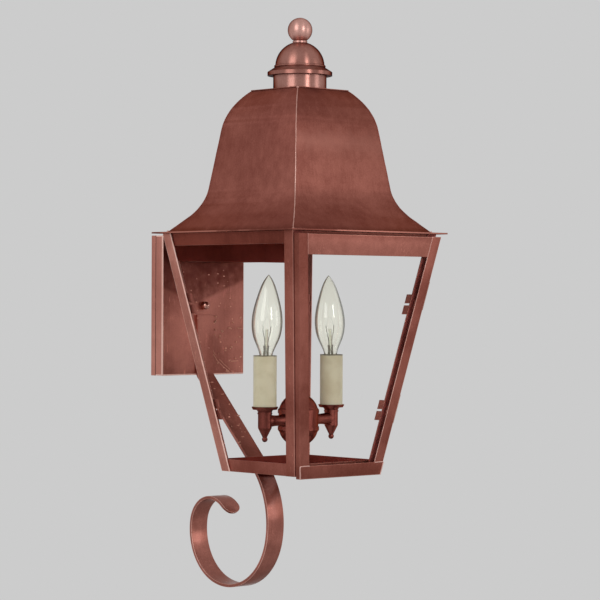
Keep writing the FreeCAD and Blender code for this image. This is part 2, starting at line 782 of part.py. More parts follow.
def bulb_outline(shrink):
    """The pear curve of the bulb, from its neck to its tip, drawn in by the wall."""
    length = bulb_length - bulb_base_proud
    points = [V(bulb_neck_radius - shrink, 0, 0)]
    for height_share, radius_share in bulb_shape:
        points.append(V(bulb_belly_radius * radius_share - shrink, 0, length * height_share))
    points.append(V(0, 0, length - shrink))
    curve = Part.BSplineCurve()
    curve.interpolate(points)
    return curve.toShape(), points[0], points[-1]


def make_candle(name, side):
    """Holder, drip cup, sleeve, socket and bulb of one candle, built up from the arm's end."""
    foot = AXIS + V(side * candle_offset(), 0, lamp_arm_z)
    ball_z = -holder_foot - holder_cone - math.sqrt(holder_ball_radius ** 2 - holder_waist ** 2)
    ball_foot = ball_z - holder_ball_radius
    spigot_top = holder_rise + cup_thickness + spigot_height
    ring_radius = holder_radius + holder_ring
    ring_top = holder_ring_rise + holder_ring_height
    waist = (holder_waist, -holder_foot - holder_cone)
    outline = lines([(0, ball_foot), (0, spigot_top), (spigot_radius, spigot_top),
                     (spigot_radius, holder_rise), (holder_top_radius, holder_rise),
                     (holder_radius, holder_shoulder), (holder_radius, ring_top), (ring_radius, ring_top),
                     (ring_radius, holder_ring_rise), (holder_radius, holder_ring_rise),
                     (holder_radius, -holder_foot), waist])
    outline.append(arc(waist, (holder_ball_radius, ball_z), (0, ball_foot)))
    nodes["holder_" + name] = revolved(outline, foot)

    bore = spigot_radius + seat_gap
    floor_radius = sleeve_radius + cup_floor_margin
    floor = holder_rise + cup_thickness
    outline = lines([(bore, holder_rise), (floor_radius, holder_rise),
                     (cup_rim_radius, floor + cup_rim_height - cup_thickness / 2),
                     (cup_rim_radius - cup_thickness / 2, floor + cup_rim_height),
                     (floor_radius, floor), (bore, floor), (bore, holder_rise)])
    nodes["drip_cup_" + name] = revolved(outline, foot)

    nodes["sleeve_" + name] = tube(sleeve_radius, sleeve_wall, foot + V(0, 0, floor), Z_AXIS, sleeve_height)

    socket_top = floor + sleeve_height - socket_drop
    base_top = floor + sleeve_height - bulb_base_proud - socket_drop / 2
    base_foot = base_top - bulb_base_length
    socket = rod(socket_radius, foot + V(0, 0, floor), Z_AXIS, socket_top - floor)
    socket = socket.cut(rod(bore, foot + V(0, 0, floor), Z_AXIS, spigot_height + seat_gap))
    base_point = foot + V(0, 0, base_foot)

    def leaned(shape):
        """The lamps sit a little crooked, both towards the middle."""
        shape.rotate(base_point, Y_AXIS, -side * bulb_lean)
        return shape

    bore = rod(bulb_base_radius + seat_gap, base_point, Z_AXIS, 2 * bulb_base_length)
    nodes["socket_" + name] = socket.cut(leaned(bore))

    nodes["bulb_base_" + name] = leaned(rod(bulb_base_radius, base_point, Z_AXIS, bulb_base_length))

    outer, outer_neck, outer_tip = bulb_outline(0)
    inner, inner_neck, inner_tip = bulb_outline(bulb_wall)
    outline = [outer, Part.makeLine(outer_tip, inner_tip), inner, Part.makeLine(inner_neck, outer_neck)]
    face = Part.Face(Part.Wire(Part.__sortEdges__(outline)))
    envelope = face.revolve(V(0, 0, 0), Z_AXIS, 360)
    envelope.translate(foot + V(0, 0, base_top))
    nodes["bulb_glass_" + name] = leaned(envelope)


make_backplate()
make_arm_box()
make_strap()
make_frame()
make_glass()
make_door()
make_hinges()
make_roof()
make_chimney()
make_cluster()
make_candle("left", -1)
make_candle("right", 1)

os.makedirs("parts", exist_ok=True)
for name, shape in nodes.items():
    shape.exportStep(os.path.join("parts", name + ".step"))
print(len(nodes), "nodes")
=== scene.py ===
# %% [markdown]
# A copper wall lantern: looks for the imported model.
# The solids arrive already in place, in metres, with the wall at y = 0 and the lantern towards -Y.
# This script dresses them: bevelled sheet edges, solder, lamp insides, finishes, light and camera.

# %% Load the frame
import json
import math

import bmesh
import bpy
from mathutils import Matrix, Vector

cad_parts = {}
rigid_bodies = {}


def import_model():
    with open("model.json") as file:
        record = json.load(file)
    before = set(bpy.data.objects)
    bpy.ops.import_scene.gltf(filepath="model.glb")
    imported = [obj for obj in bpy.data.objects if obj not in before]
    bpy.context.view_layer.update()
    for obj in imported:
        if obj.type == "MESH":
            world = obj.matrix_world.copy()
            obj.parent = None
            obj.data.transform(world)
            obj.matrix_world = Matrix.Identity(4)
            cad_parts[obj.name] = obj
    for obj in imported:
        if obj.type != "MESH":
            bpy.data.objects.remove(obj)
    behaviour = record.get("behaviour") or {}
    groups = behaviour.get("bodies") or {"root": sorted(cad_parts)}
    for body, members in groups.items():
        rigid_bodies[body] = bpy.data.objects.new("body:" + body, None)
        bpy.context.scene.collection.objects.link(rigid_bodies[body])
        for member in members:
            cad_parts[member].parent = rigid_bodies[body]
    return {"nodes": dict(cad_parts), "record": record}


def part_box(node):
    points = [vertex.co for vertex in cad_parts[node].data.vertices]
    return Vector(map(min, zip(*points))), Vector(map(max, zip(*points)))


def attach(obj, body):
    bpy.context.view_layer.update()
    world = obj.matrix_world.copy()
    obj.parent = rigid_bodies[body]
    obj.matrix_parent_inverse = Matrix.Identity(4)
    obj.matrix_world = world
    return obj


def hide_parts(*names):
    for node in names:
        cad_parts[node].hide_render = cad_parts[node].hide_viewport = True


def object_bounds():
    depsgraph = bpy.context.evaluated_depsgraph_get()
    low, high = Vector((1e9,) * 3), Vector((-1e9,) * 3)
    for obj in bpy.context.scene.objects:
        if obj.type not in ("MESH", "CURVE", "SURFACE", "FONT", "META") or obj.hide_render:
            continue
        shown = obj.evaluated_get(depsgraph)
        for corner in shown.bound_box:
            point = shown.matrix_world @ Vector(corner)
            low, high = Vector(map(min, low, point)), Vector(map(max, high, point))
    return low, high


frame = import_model()
cad_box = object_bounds()
scene = bpy.context.scene
MM = 0.001
bodies = frame["record"]["behaviour"]["bodies"]
body_of_node = {name: body for body, names in bodies.items() for name in names}
slot_of_node = {part["node"]: part["material_slot"] for part in frame["record"]["subparts"]}
print("loaded", len(frame["nodes"]), "nodes on", sorted(bodies))

# %% [markdown]
# The lantern's axis and levels are read from the solids, so a changed size moves everything with it.

# %% Measures taken from the solids
flange_low, flange_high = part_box("roof_flange")
cover_low, cover_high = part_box("plate_cover")
AXIS_Y = (flange_low[1] + flange_high[1]) / 2
ROOF_BASE_Z = flange_high[2]
PLATE_FACE_Y = cover_low[1]
PLATE_MIDDLE_Z = (cover_low[2] + cover_high[2]) / 2
print("lantern axis at y =", round(AXIS_Y, 4), "roof base at z =", round(ROOF_BASE_Z, 4))

# %% [markdown]
# Finishes and repeated shapes are node trees. They could be drawn by hand in the editor, but built by
# code they stay readable. The same few helpers serve shaders and geometry: each adds one node, writes
# its numbers, links what comes from other nodes, and hands back what comes out.

# %% Node helpers
VECTOR = "NodeSocketVector"
COLOUR = "NodeSocketColor"
FLOAT = "NodeSocketFloat"


def set_sockets(tree, node, values):
    """Sets a node's inputs by name or number: sockets of other nodes are linked, the rest is written."""
    for label, value in values.items():
        if isinstance(value, bpy.types.NodeSocket):
            tree.links.new(value, node.inputs[label])
        else:
            node.inputs[label].default_value = value


def add_node(tree, kind, values, **settings):
    """What comes out of a new node. Its settings go first, because they decide which inputs it has."""
    node = tree.nodes.new(kind)
    for label, setting in settings.items():
        setattr(node, label, setting)
    set_sockets(tree, node, values)
    return node.outputs


def add_noise(tree, vector, scale, detail, roughness=0.55):
    values = {"Vector": vector, "Scale": scale, "Detail": detail, "Roughness": roughness}
    return add_node(tree, "ShaderNodeTexNoise", values)["Fac"]


def add_range(tree, value, low, high, to_low, to_high):
    values = {"Value": value, "From Min": low, "From Max": high, "To Min": to_low, "To Max": to_high}
    return add_node(tree, "ShaderNodeMapRange", values, interpolation_type="SMOOTHSTEP")["Result"]


def add_math(tree, operation, a, b=0):
    return add_node(tree, "ShaderNodeMath", {0: a, 1: b}, operation=operation)["Value"]


def add_mix(tree, factor, a, b):
    """A mix of two colours, whose inputs on this node have the numbers 6 and 7."""
    return add_node(tree, "ShaderNodeMix", {"Factor": factor, 6: a, 7: b}, data_type="RGBA")[2]


def new_group(name, inputs, outputs, kind="ShaderNodeTree"):
    """An empty node group, what it is given, and its end. Sockets have a name, a kind, maybe a default."""
    group = bpy.data.node_groups.new(name, kind)
    for in_out, sockets in (("INPUT", inputs), ("OUTPUT", outputs)):
        for label, socket_kind, *default in sockets:
            socket = group.interface.new_socket(label, in_out=in_out, socket_type=socket_kind)
            if default:
                socket.default_value = default[0]
    return group, group.nodes.new("NodeGroupInput").outputs, group.nodes.new("NodeGroupOutput")


print("node helpers ready")

# %% [markdown]
# Copper that has been handled and left to darken is never one colour. Broad clouds of brown tarnish,
# a finer mottle, a grain and faint upright brushing all show at once. One node group adds them up, and
# each copper finish in the scene sets its own colours on it, so the pieces look cut from the same sheet.

# %% Tarnish node group
BRUSHING_STRETCH = (420, 420, 9)
MOTTLE_WEIGHT = 0.45
GRAIN_WEIGHT = 0.4
BRUSHING_WEIGHT = 0.2
FLECK_STRENGTH = 0.35


def make_tarnish_group():
    inputs = [("Vector", VECTOR), ("Clean", COLOUR, (0.6, 0.27, 0.2, 1)),
              ("Tarnished", COLOUR, (0.3, 0.1, 0.075, 1)), ("Sheen low", FLOAT, 0.3),
              ("Sheen high", FLOAT, 0.5), ("Clouds", FLOAT, 0.3)]
    outputs = [("Color", COLOUR), ("Roughness", FLOAT), ("Height", FLOAT)]
    group, given, end = new_group("copper tarnish", inputs, outputs)
    vector = given["Vector"]
    clouds = add_range(group, add_noise(group, vector, 13, 3), 0.34, 0.66, -0.5, 0.5)
    mottle = add_noise(group, vector, 90, 6, 0.65)
    grain = add_noise(group, vector, 800, 2)
    stretch = add_node(group, "ShaderNodeMapping", {"Vector": vector, "Scale": BRUSHING_STRETCH})
    brushing = add_noise(group, stretch["Vector"], 1, 2)
    flecks = add_range(group, add_noise(group, vector, 620, 2), 0.66, 0.74, 0, 1)
    share = add_math(group, "MULTIPLY", clouds, given["Clouds"])
    for layer, weight in ((mottle, MOTTLE_WEIGHT), (grain, GRAIN_WEIGHT), (brushing, BRUSHING_WEIGHT)):
        share = add_math(group, "ADD", share, add_math(group, "MULTIPLY", layer, weight))
    share = add_range(group, share, 0.18, 0.87, 0, 1)
    colour = add_mix(group, share, given["Tarnished"], given["Clean"])
    flecks = add_math(group, "MULTIPLY", flecks, FLECK_STRENGTH)
    colour = add_mix(group, flecks, colour, given["Tarnished"])
    sheen = add_node(group, "ShaderNodeMapRange", {
        "Value": mottle, "To Min": given["Sheen low"], "To Max": given["Sheen high"]})
    height = add_math(group, "ADD", add_math(group, "MULTIPLY", brushing, 0.5), mottle)
    set_sockets(group, end, {"Color": colour, "Roughness": sheen["Result"], "Height": height})
    return group


tarnish = make_tarnish_group()
print("node group", tarnish.name, "with", len(tarnish.nodes), "nodes")

# %% [markdown]
# Three smaller groups follow. Scratches are short hairlines in two directions that gather in patches,
# as handling leaves them. A band is a soft stripe along one level, for painted shade and painted
# highlights on the roof, the door, the plate, the strap and the sleeves. The last is everything above a
# bent line, for painted shade on the upper part of the backplate. Painted masks would do too, but these
# follow the solids' levels.

# %% Scratch, band and bent line node groups
HAIRLINE_TURNS = (0.45, -0.7)
HAIRLINE_LEAN = 0.3
HAIRLINE_STRETCH = (1500, 1500, 70)
BAND_RAGGEDNESS = 0.9


def make_scratch_group():
    group, given, end = new_group("scratches", [("Vector", VECTOR)], [("Mask", FLOAT)])
    vector = given["Vector"]
    hairs = []
    for turn in HAIRLINE_TURNS:
        lay = add_node(group, "ShaderNodeMapping", {
            "Vector": vector, "Rotation": (turn, turn, HAIRLINE_LEAN), "Scale": HAIRLINE_STRETCH})
        hairs.append(add_range(group, add_noise(group, lay["Vector"], 1, 1), 0.68, 0.74, 0, 1))
    patches = add_range(group, add_noise(group, vector, 45, 2), 0.5, 0.62, 0, 1)
    mask = add_math(group, "MULTIPLY", add_math(group, "MAXIMUM", *hairs), patches)
    set_sockets(group, end, {"Mask": mask})
    return group


def add_distance(group, vector, axis, level):
    """How far a point is from a level on one axis."""
    apart = add_node(group, "ShaderNodeSeparateXYZ", {"Vector": vector})
    return add_math(group, "ABSOLUTE", add_math(group, "SUBTRACT", apart[axis], level))


# A band paints light along one level: painted shade where its colour is dark, highlight where pale.
def make_band_group():
    inputs = [("Vector", VECTOR), ("Level", FLOAT, 0.0), ("Reach", FLOAT, 0.01)]
    group, given, end = new_group("grime band", inputs, [("Mask", FLOAT)])
    away = add_distance(group, given["Vector"], "Z", given["Level"])
    near = add_math(group, "DIVIDE", away, given["Reach"])
    ragged = add_noise(group, given["Vector"], 130, 4)
    near = add_math(group, "ADD", near, add_math(group, "MULTIPLY", ragged, BAND_RAGGEDNESS))
    set_sockets(group, end, {"Mask": add_range(group, near, 0.35, 1.35, 1, 0)})
    return group


def make_bent_line_group():
    """Mask of what lies above a line that rises to both sides of a centre on X."""
    inputs = [("Vector", VECTOR), ("Level", FLOAT, 0.0), ("Slope", FLOAT, 0.3),
              ("Centre", FLOAT, 0.0), ("Softness", FLOAT, 0.003)]
    group, given, end = new_group("above a bent line", inputs, [("Mask", FLOAT)])
    aside = add_distance(group, given["Vector"], "X", given["Centre"])
    line = add_math(group, "ADD", add_math(group, "MULTIPLY", aside, given["Slope"]), given["Level"])
    apart = add_node(group, "ShaderNodeSeparateXYZ", {"Vector": given["Vector"]})
    above = add_math(group, "SUBTRACT", apart["Z"], line)
    above = add_math(group, "DIVIDE", above, given["Softness"])
    set_sockets(group, end, {"Mask": add_range(group, above, -1, 1, 0, 1)})
    return group


scratches = make_scratch_group()
painted_band = make_band_group()
bent_line = make_bent_line_group()
print("node groups", scratches.name, painted_band.name, bent_line.name)

# %% [markdown]
# Every metal is one Principled shader. The tarnish group gives its colour, roughness and fine relief,
# with scratches and bands of painted light and shade over the colour. Images could carry that, but each
# piece would need unwrapping, so the patterns come from Object coordinates. Specular Tint is what a metal
# mirrors where it turns away: dark on copper, and near black on the spun pieces, a painted reflection of
# dark surroundings at their rims. Anisotropic stretches the highlights of turned and brushed metal, and
# Coat is a thin clear lacquer.

# %% Metal material
COPPER_EDGE = (0.6, 0.38, 0.33)
# Near black Specular Tint for the spun pieces: a painted reflection of dark surroundings at their rims.
SPUN_DARK_RIM = (0.05, 0.015, 0.012)
PALE_EDGE = (1.0, 1.0, 1.0)
RUBBED = 1.9
RELIEF_DEPTH = 0.2 * MM
LACQUER_ROUGHNESS = 0.2
DULL = (0.4, 0.6)


def new_material(name):
    material = bpy.data.materials.new(name)
    material.use_nodes = True
    return material, material.node_tree, material.node_tree.nodes["Principled BSDF"]


def object_coordinates(tree):
    return add_node(tree, "ShaderNodeTexCoord", {})["Object"]


def add_group(tree, group, values):
    return add_node(tree, "ShaderNodeGroup", values, node_tree=group)


def add_bump(tree, height, strength, depth):
    values = {"Height": height, "Strength": strength, "Distance": depth}
    return add_node(tree, "ShaderNodeBump", values)["Normal"]


def add_threads(tree, vector, pitch):
    """Rings along Z, one for each turn of a screw thread. The node's own rings are pi / 10 apart."""
    values = {"Vector": vector, "Scale": math.pi / (10 * pitch)}
    return add_node(tree, "ShaderNodeTexWave", values, bands_direction="Z")["Fac"]


def add_painted_band(tree, vector, colour, level, reach, strength, band_colour, line=None):
    """Mixes a band of painted shade or highlight into a colour, and with a bent line only above that line.
    """
    stripe = add_group(tree, painted_band, {"Vector": vector, "Level": level, "Reach": reach})
    band_share = add_math(tree, "MULTIPLY", stripe["Mask"], strength)
    if line:
        upper = add_group(tree, bent_line, {"Vector": vector, **line})
        band_share = add_math(tree, "MULTIPLY", band_share, upper["Mask"])
    return add_mix(tree, band_share, colour, (*band_colour, 1))


def metal(name, clean, tarnished, sheen=DULL, bump=0.25, metallic=1.0, clouds=0.3, scratched=0.0,
          bands=(), turned=0.0, turn=0.25, lacquer=0.0, specular=0.5, thread=None, grazing=COPPER_EDGE):
    """A metal finish: turned is how far its highlights are stretched, and turn in which direction."""
    material, tree, shader = new_material(name)
    vector = object_coordinates(tree)
    layer = add_group(tree, tarnish, {
        "Vector": vector, "Clean": (*clean, 1), "Tarnished": (*tarnished, 1), "Sheen low": sheen[0],
        "Sheen high": sheen[1], "Clouds": clouds})
    colour = layer["Color"]
    if scratched:
        marks = add_group(tree, scratches, {"Vector": vector})["Mask"]
        rubbed = (*[min(1.0, RUBBED * channel) for channel in clean], 1)
        colour = add_mix(tree, add_math(tree, "MULTIPLY", marks, scratched), colour, rubbed)
    for band in bands:
        colour = add_painted_band(tree, vector, colour, *band)
    height = add_threads(tree, vector, thread) if thread else layer["Height"]
    set_sockets(tree, shader, {
        "Base Color": colour, "Roughness": layer["Roughness"],
        "Normal": add_bump(tree, height, bump, RELIEF_DEPTH), "Metallic": metallic,
        "Anisotropic": turned, "Anisotropic Rotation": turn, "Specular IOR Level": specular,
        "Specular Tint": (*grazing, 1), "Coat Weight": lacquer, "Coat Roughness": LACQUER_ROUGHNESS})
    return material


print("copper mirrors", COPPER_EDGE, "at its edge")

# %% [markdown]
# Roof and body are folded from sheet that has dulled to brown. One finish could do for all of it, but
# the pieces differ a little in tone. The roof has painted shade along its foot and over its flare, and
# its front sheet painted shade towards the head and a painted highlight at the waist. The lower rails
# are dull, and some rails, the arm box and the catch are darker still. Faces turned inwards are seen
# through the glass; their copy is redder and hardly metallic, painted light for the light bounced
# between the copper walls inside. The clips are paler and hardly metallic, painted light in their shade.

# %% Roof and body finishes
DULLEST = (0.42, 0.62)
# Colours of painted shade for the roof's foot and flare, and of a painted highlight for its waist.
ROOF_FOOT_SHADE = (0.09, 0.024, 0.018)
SHADE = (0.17, 0.045, 0.034)
WAIST_HIGHLIGHT = (0.6, 0.26, 0.205)
ROOF_TOP_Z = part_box("roof_panel_front")[1][2]
ROOF_WAIST_Z = ROOF_BASE_Z + 90 * MM
# Roof bands: painted shade at the foot, over the flare and towards the head, a painted highlight at the
# waist.
roof_foot = (ROOF_BASE_Z, 7 * MM, 0.6, ROOF_FOOT_SHADE)
roof_skirt_shade = (ROOF_BASE_Z, 60 * MM, 0.4, SHADE)
roof_head_shade = (ROOF_TOP_Z, 80 * MM, 0.55, SHADE)
roof_waist_highlight = (ROOF_WAIST_Z, 20 * MM, 0.35, WAIST_HIGHLIGHT)
sheet_copper = metal("sheet copper", (0.4, 0.142, 0.108), (0.22, 0.063, 0.046), scratched=0.25)
roof_copper = metal(
    "roof copper", (0.45, 0.167, 0.13), (0.255, 0.078, 0.06), clouds=0.26, bands=[roof_foot, roof_skirt_shade])
roof_front = metal(
    "front roof copper", (0.46, 0.172, 0.132), (0.25, 0.075, 0.056), clouds=0.26,
    bands=[roof_foot, roof_skirt_shade, roof_head_shade, roof_waist_highlight])
low_rail_copper = metal(
    "low rail copper", (0.455, 0.165, 0.126), (0.25, 0.074, 0.056), DULLEST, scratched=0.3)
foot_copper = metal("foot rail copper", (0.33, 0.112, 0.084), (0.18, 0.05, 0.036), DULLEST, scratched=0.3)
# A darker copy for some rails, the arm box and the catch.
darker_copper = metal("aged copper", (0.3, 0.085, 0.062), (0.15, 0.038, 0.027), DULLEST, scratched=0.2)
# Redder and hardly metallic for inward faces: painted light bounced between the copper walls inside.
inner_copper = metal(
    "inner copper", (0.3, 0.05, 0.035), (0.17, 0.026, 0.018), DULL, 0.2, metallic=0.3, specular=0.1)
# Paler and hardly metallic: painted light, so the clips read lighter in the shade they sit in.
clip_copper = metal("clip copper", (0.54, 0.19, 0.147), (0.35, 0.11, 0.084), DULL, 0.2, metallic=0.2)
print("roof and body:", sheet_copper.name, roof_copper.name, inner_copper.name)

# %% [markdown]
# Hands reach the posts, the door and the backplate most, so these are rubbed brighter and scratched.
# The plate has painted shade above a bent line, where the roof's shadow and a dark reflection fall, and
# its folded left sides are a paler copy, a painted highlight. The posts' inner legs are seats for the door
# and the panes, pale and hardly metallic: painted light where they sit in shade.

# %% Post, door and plate finishes
SATIN = (0.3, 0.5)
PLATE_SHEEN = (0.36, 0.56)
NUT_SHEEN = (0.14, 0.3)
PLATE_SHADE = (0.125, 0.028, 0.021)
DOOR_TOP_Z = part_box("door_top_rail")[1][2]
# Painted shade on the plate: darker above a line that rises to both sides of the middle.
plate_shade_line = {"Level": PLATE_MIDDLE_Z + 2.5 * MM, "Slope": 0.37, "Centre": -12 * MM}
plate_top_shade = (cover_high[2], 220 * MM, 0.88, PLATE_SHADE, plate_shade_line)
left_post_copper = metal(
    "left post copper", (0.64, 0.285, 0.227), (0.4, 0.152, 0.118), SATIN, scratched=0.6)
post_copper = metal("post copper", (0.47, 0.172, 0.132), (0.27, 0.082, 0.061), scratched=0.6)
# Pale and hardly metallic: painted light on the door's seat, in the shade behind the stiles.
door_seat_copper = metal(
    "door seat copper", (0.5, 0.135, 0.112), (0.3, 0.07, 0.057), DULL, 0.2, metallic=0.2, specular=0.15)
# Pale and hardly metallic: painted light on the back posts' inner legs, in the posts' shade.
back_post_copper = metal(
    "back post copper", (0.66, 0.25, 0.2), (0.42, 0.14, 0.11), DULL, 0.2, metallic=0.2, specular=0.15)
# The door rail's band is painted shade along its top edge, below the roof.
door_copper = metal(
    "door rail copper", (0.55, 0.213, 0.166), (0.33, 0.112, 0.085), SATIN, clouds=0.1, scratched=0.6,
    bands=[(DOOR_TOP_Z, 9 * MM, 0.5, SHADE)])
plate_copper = metal(
    "plate copper", (0.5, 0.19, 0.148), (0.275, 0.089, 0.069), PLATE_SHEEN, 0.3, clouds=0.5,
    scratched=0.9, bands=[plate_top_shade])
# A paler copy for the plate's left sides and rear edges: a painted highlight.
plate_side_highlight = metal("plate side copper", (0.7, 0.31, 0.25), (0.48, 0.19, 0.15), SATIN)
nut_copper = metal("nut copper", (0.75, 0.4, 0.33), (0.4, 0.15, 0.115), NUT_SHEEN, 0.3)
print("posts, door and plate:", post_copper.name, door_copper.name, plate_copper.name)

# %% [markdown]
# Cap, neck and ball were spun on a lathe. They are clean and smooth, and need no modelled grooves: an
# upright stretched highlight reads as turned metal. Their near black Specular Tint darkens their rims, a
# painted reflection of dark surroundings. The strap is brushed across and thinly lacquered, and behind
# the lantern it takes a darker, duller copy without lacquer: painted shade. The lamp cluster is dark,
# and its stem is a threaded tube, whose thread is fine enough for a bump of rings.

# %% Spun, strap and cluster finishes
SPUN_SHEEN = (0.28, 0.4)
BALL_SHEEN = (0.32, 0.44)
STRAP_SHEEN = (0.24, 0.36)
SHELTERED_SHEEN = (0.36, 0.52)
CLUSTER_SHEEN = (0.3, 0.46)
EDGE_SHEEN = (0.3, 0.45)
STEM_PITCH = 1.2 * MM
SHELTERED_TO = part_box("bottom_rail_left")[0][2]
spun_copper = metal(
    "spun copper", (0.51, 0.24, 0.197), (0.27, 0.1, 0.077), SPUN_SHEEN, 0.06, turned=0.8,
    grazing=SPUN_DARK_RIM)
neck_copper = metal(
    "neck copper", (0.64, 0.34, 0.288), (0.37, 0.16, 0.128), SPUN_SHEEN, 0.06, turned=0.8,
    grazing=SPUN_DARK_RIM)
ball_copper = metal(
    "ball copper", (0.88, 0.51, 0.445), (0.52, 0.26, 0.214), BALL_SHEEN, 0.06, turned=0.6,
    grazing=SPUN_DARK_RIM)
# The strap's band is painted shade just below the lantern's bottom rail.
strap_copper = metal(
    "strap copper", (0.53, 0.188, 0.14), (0.265, 0.075, 0.051), STRAP_SHEEN, 0.2, scratched=0.5,
    bands=[(SHELTERED_TO, 50 * MM, 0.7, SHADE)], turned=0.75, turn=0.0, lacquer=0.55)
# A darker, duller copy without lacquer for the bar behind the lantern: painted shade.
strap_shaded_dull = metal(
    "sheltered strap copper", (0.43, 0.158, 0.123), (0.222, 0.07, 0.054), SHELTERED_SHEEN, 0.3,
    scratched=0.6)
cluster_copper = metal("cluster copper", (0.318, 0.088, 0.067), (0.138, 0.036, 0.028), CLUSTER_SHEEN, 0.15)
stem_copper = metal(
    "stem copper", (0.3, 0.085, 0.062), (0.13, 0.034, 0.025), EDGE_SHEEN, 0.8, thread=STEM_PITCH)
print("spun, strap and cluster:", spun_copper.name, strap_copper.name, cluster_copper.name)

# %% [markdown]
# Cut edges are the thin bright lines along every fold and shear. They are finishes of their own, on the
# bevels, because the pieces' edges are worn differently. The cut and bright edges are paler and less
# metallic than the sheet, so they stay light whichever way they face: painted highlight over the fresh
# metal of the cut. Solder and dried flux are paler than the sheet.
# Lamp caps are yellow brass, hinges are redder, and studs are zinc-plated steel.

# %% Edge, solder, brass and steel finishes
BRIGHT_SHEEN = (0.35, 0.5)
BRASS_SHEEN = (0.22, 0.38)
CAP_PITCH = 2.4 * MM
# Pale and less metallic than the sheet: painted highlight over the fresh metal of a cut edge.
cut_edge_highlight = metal("cut copper edge", (0.98, 0.6, 0.52), (0.62, 0.3, 0.24), EDGE_SHEEN, 0.1, metallic=0.6)
# Nearly white and hardly metallic: a painted highlight along the edges it is put on.
painted_highlight_edge = metal(
    "bright copper edge", (1.0, 0.68, 0.59), (0.95, 0.54, 0.45), BRIGHT_SHEEN, 0.1, metallic=0.15)
flange_edge = metal(
    "flange edge copper", (0.52, 0.21, 0.163), (0.2, 0.06, 0.045), EDGE_SHEEN, 0.1, clouds=0.7)
worn_edge = metal("worn copper edge", (0.64, 0.28, 0.22), (0.36, 0.13, 0.1), EDGE_SHEEN, 0.1)
solder = metal("dull solder", (0.92, 0.6, 0.53), (0.55, 0.27, 0.22), SATIN, 0.3, metallic=0.7)
old_solder = metal("old solder", (0.4, 0.15, 0.115), (0.22, 0.07, 0.052), PLATE_SHEEN, 0.3)
dried_flux = metal(
    "dried flux", (0.85, 0.41, 0.3), (0.58, 0.25, 0.18), DULL, 0.2, metallic=0.1, specular=0.2)
brass = metal(
    "lamp brass", (0.72, 0.5, 0.22), (0.42, 0.26, 0.1), BRASS_SHEEN, 0.9, thread=CAP_PITCH,
    grazing=PALE_EDGE)
hinge_brass = metal("hinge brass", (0.5, 0.2, 0.13), (0.26, 0.085, 0.055), SATIN, 0.2)
steel = metal("zinc steel", (0.62, 0.62, 0.6), (0.4, 0.4, 0.39), EDGE_SHEEN, 0.1, grazing=PALE_EDGE)
lead_wire = metal(
    "lamp lead wire", (0.09, 0.075, 0.045), (0.04, 0.033, 0.02), EDGE_SHEEN, 0.1, metallic=0.6)
print("edges and the rest:", cut_edge_highlight.name, solder.name, brass.name)

# %% [markdown]
# The panes are clean window glass that shows little more than its grazing edges, so their Alpha rises
# with the angle. The lamps are thin blown glass: nearly clear in the middle, with a trace of milkiness.
# They and their stems are painted dark at the rim, where the wall is seen edge on: painted shade for
# what the glass shows there. A very faint glow of their own stands for the white tent that the
# photographed lamps mirror. Both let most shadow rays straight through, by way of Light Path, because
# refracted shadows would leave the inside black.

# %% Glass finishes
GLASS_IOR = 1.46
TENT_GLOW = (1.0, 0.98, 0.76, 1)
SHADOW_SHARE = 0.1


def glass(name, tint, rim, clearness, alpha, glow=0.0):
    material, tree, shader = new_material(name)
    slant = add_node(tree, "ShaderNodeLayerWeight", {"Blend": 0.5})["Facing"]
    edge_on = add_range(tree, slant, 0.42, 0.74, 0, 1)
    haze = add_noise(tree, object_coordinates(tree), 60, 4)
    visible = add_range(tree, slant, 0.38, 1.0, *alpha)
    rays = add_node(tree, "ShaderNodeLightPath", {})
    shade = add_range(tree, rays["Is Shadow Ray"], 0, 1, 1, SHADOW_SHARE)
    set_sockets(tree, shader, {
        "Base Color": add_mix(tree, edge_on, (*tint, 1), (*rim, 1)),
        "Roughness": add_range(tree, haze, 0.5, 0.8, 0, 0.08),
        "Alpha": add_math(tree, "MULTIPLY", visible, shade), "IOR": GLASS_IOR,
        "Transmission Weight": clearness, "Emission Color": TENT_GLOW, "Emission Strength": glow})
    return material


pane_glass = glass("pane glass", (0.998, 1.0, 0.998), (0.8, 0.86, 0.82), 1.0, (0.0, 0.6))
# A near black rim colour for the lamps: painted shade where the glass is seen edge on.
bulb_glass = glass("bulb glass", (1.0, 1.0, 0.955), (0.012, 0.013, 0.01), 0.94, (1.0, 1.0), glow=0.029)
# The stems' dark rim is painted shade as well.
stem_glass = glass("lamp stem glass", (0.8, 0.82, 0.7), (0.08, 0.08, 0.055), 0.9, (1.0, 1.0))
print("glass:", pane_glass.name, bulb_glass.name, stem_glass.name)

# %% [markdown]
# The candle sleeves are moulded in cream, a little waxy, with a faint darker bloom and a dark rim at
# the top, painted shade for the dark inside of the open sleeve. The sockets inside are dark moulded
# plastic with a fine grain.

# %% Moulded finishes
MOULD_GRAIN_DEPTH = 0.1 * MM
MOULD_BUMP = 0.12
GLOSS_SPREAD = 0.06
WAX_RADIUS = (0.004, 0.003, 0.002)
SLEEVE_TOP_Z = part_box("sleeve_left")[1][2]
# Painted shade along the sleeves' top rim, for the dark inside of the open sleeve.
sleeve_rim_shade = (SLEEVE_TOP_Z, 1.9 * MM, 1.0, (0.06, 0.042, 0.018))


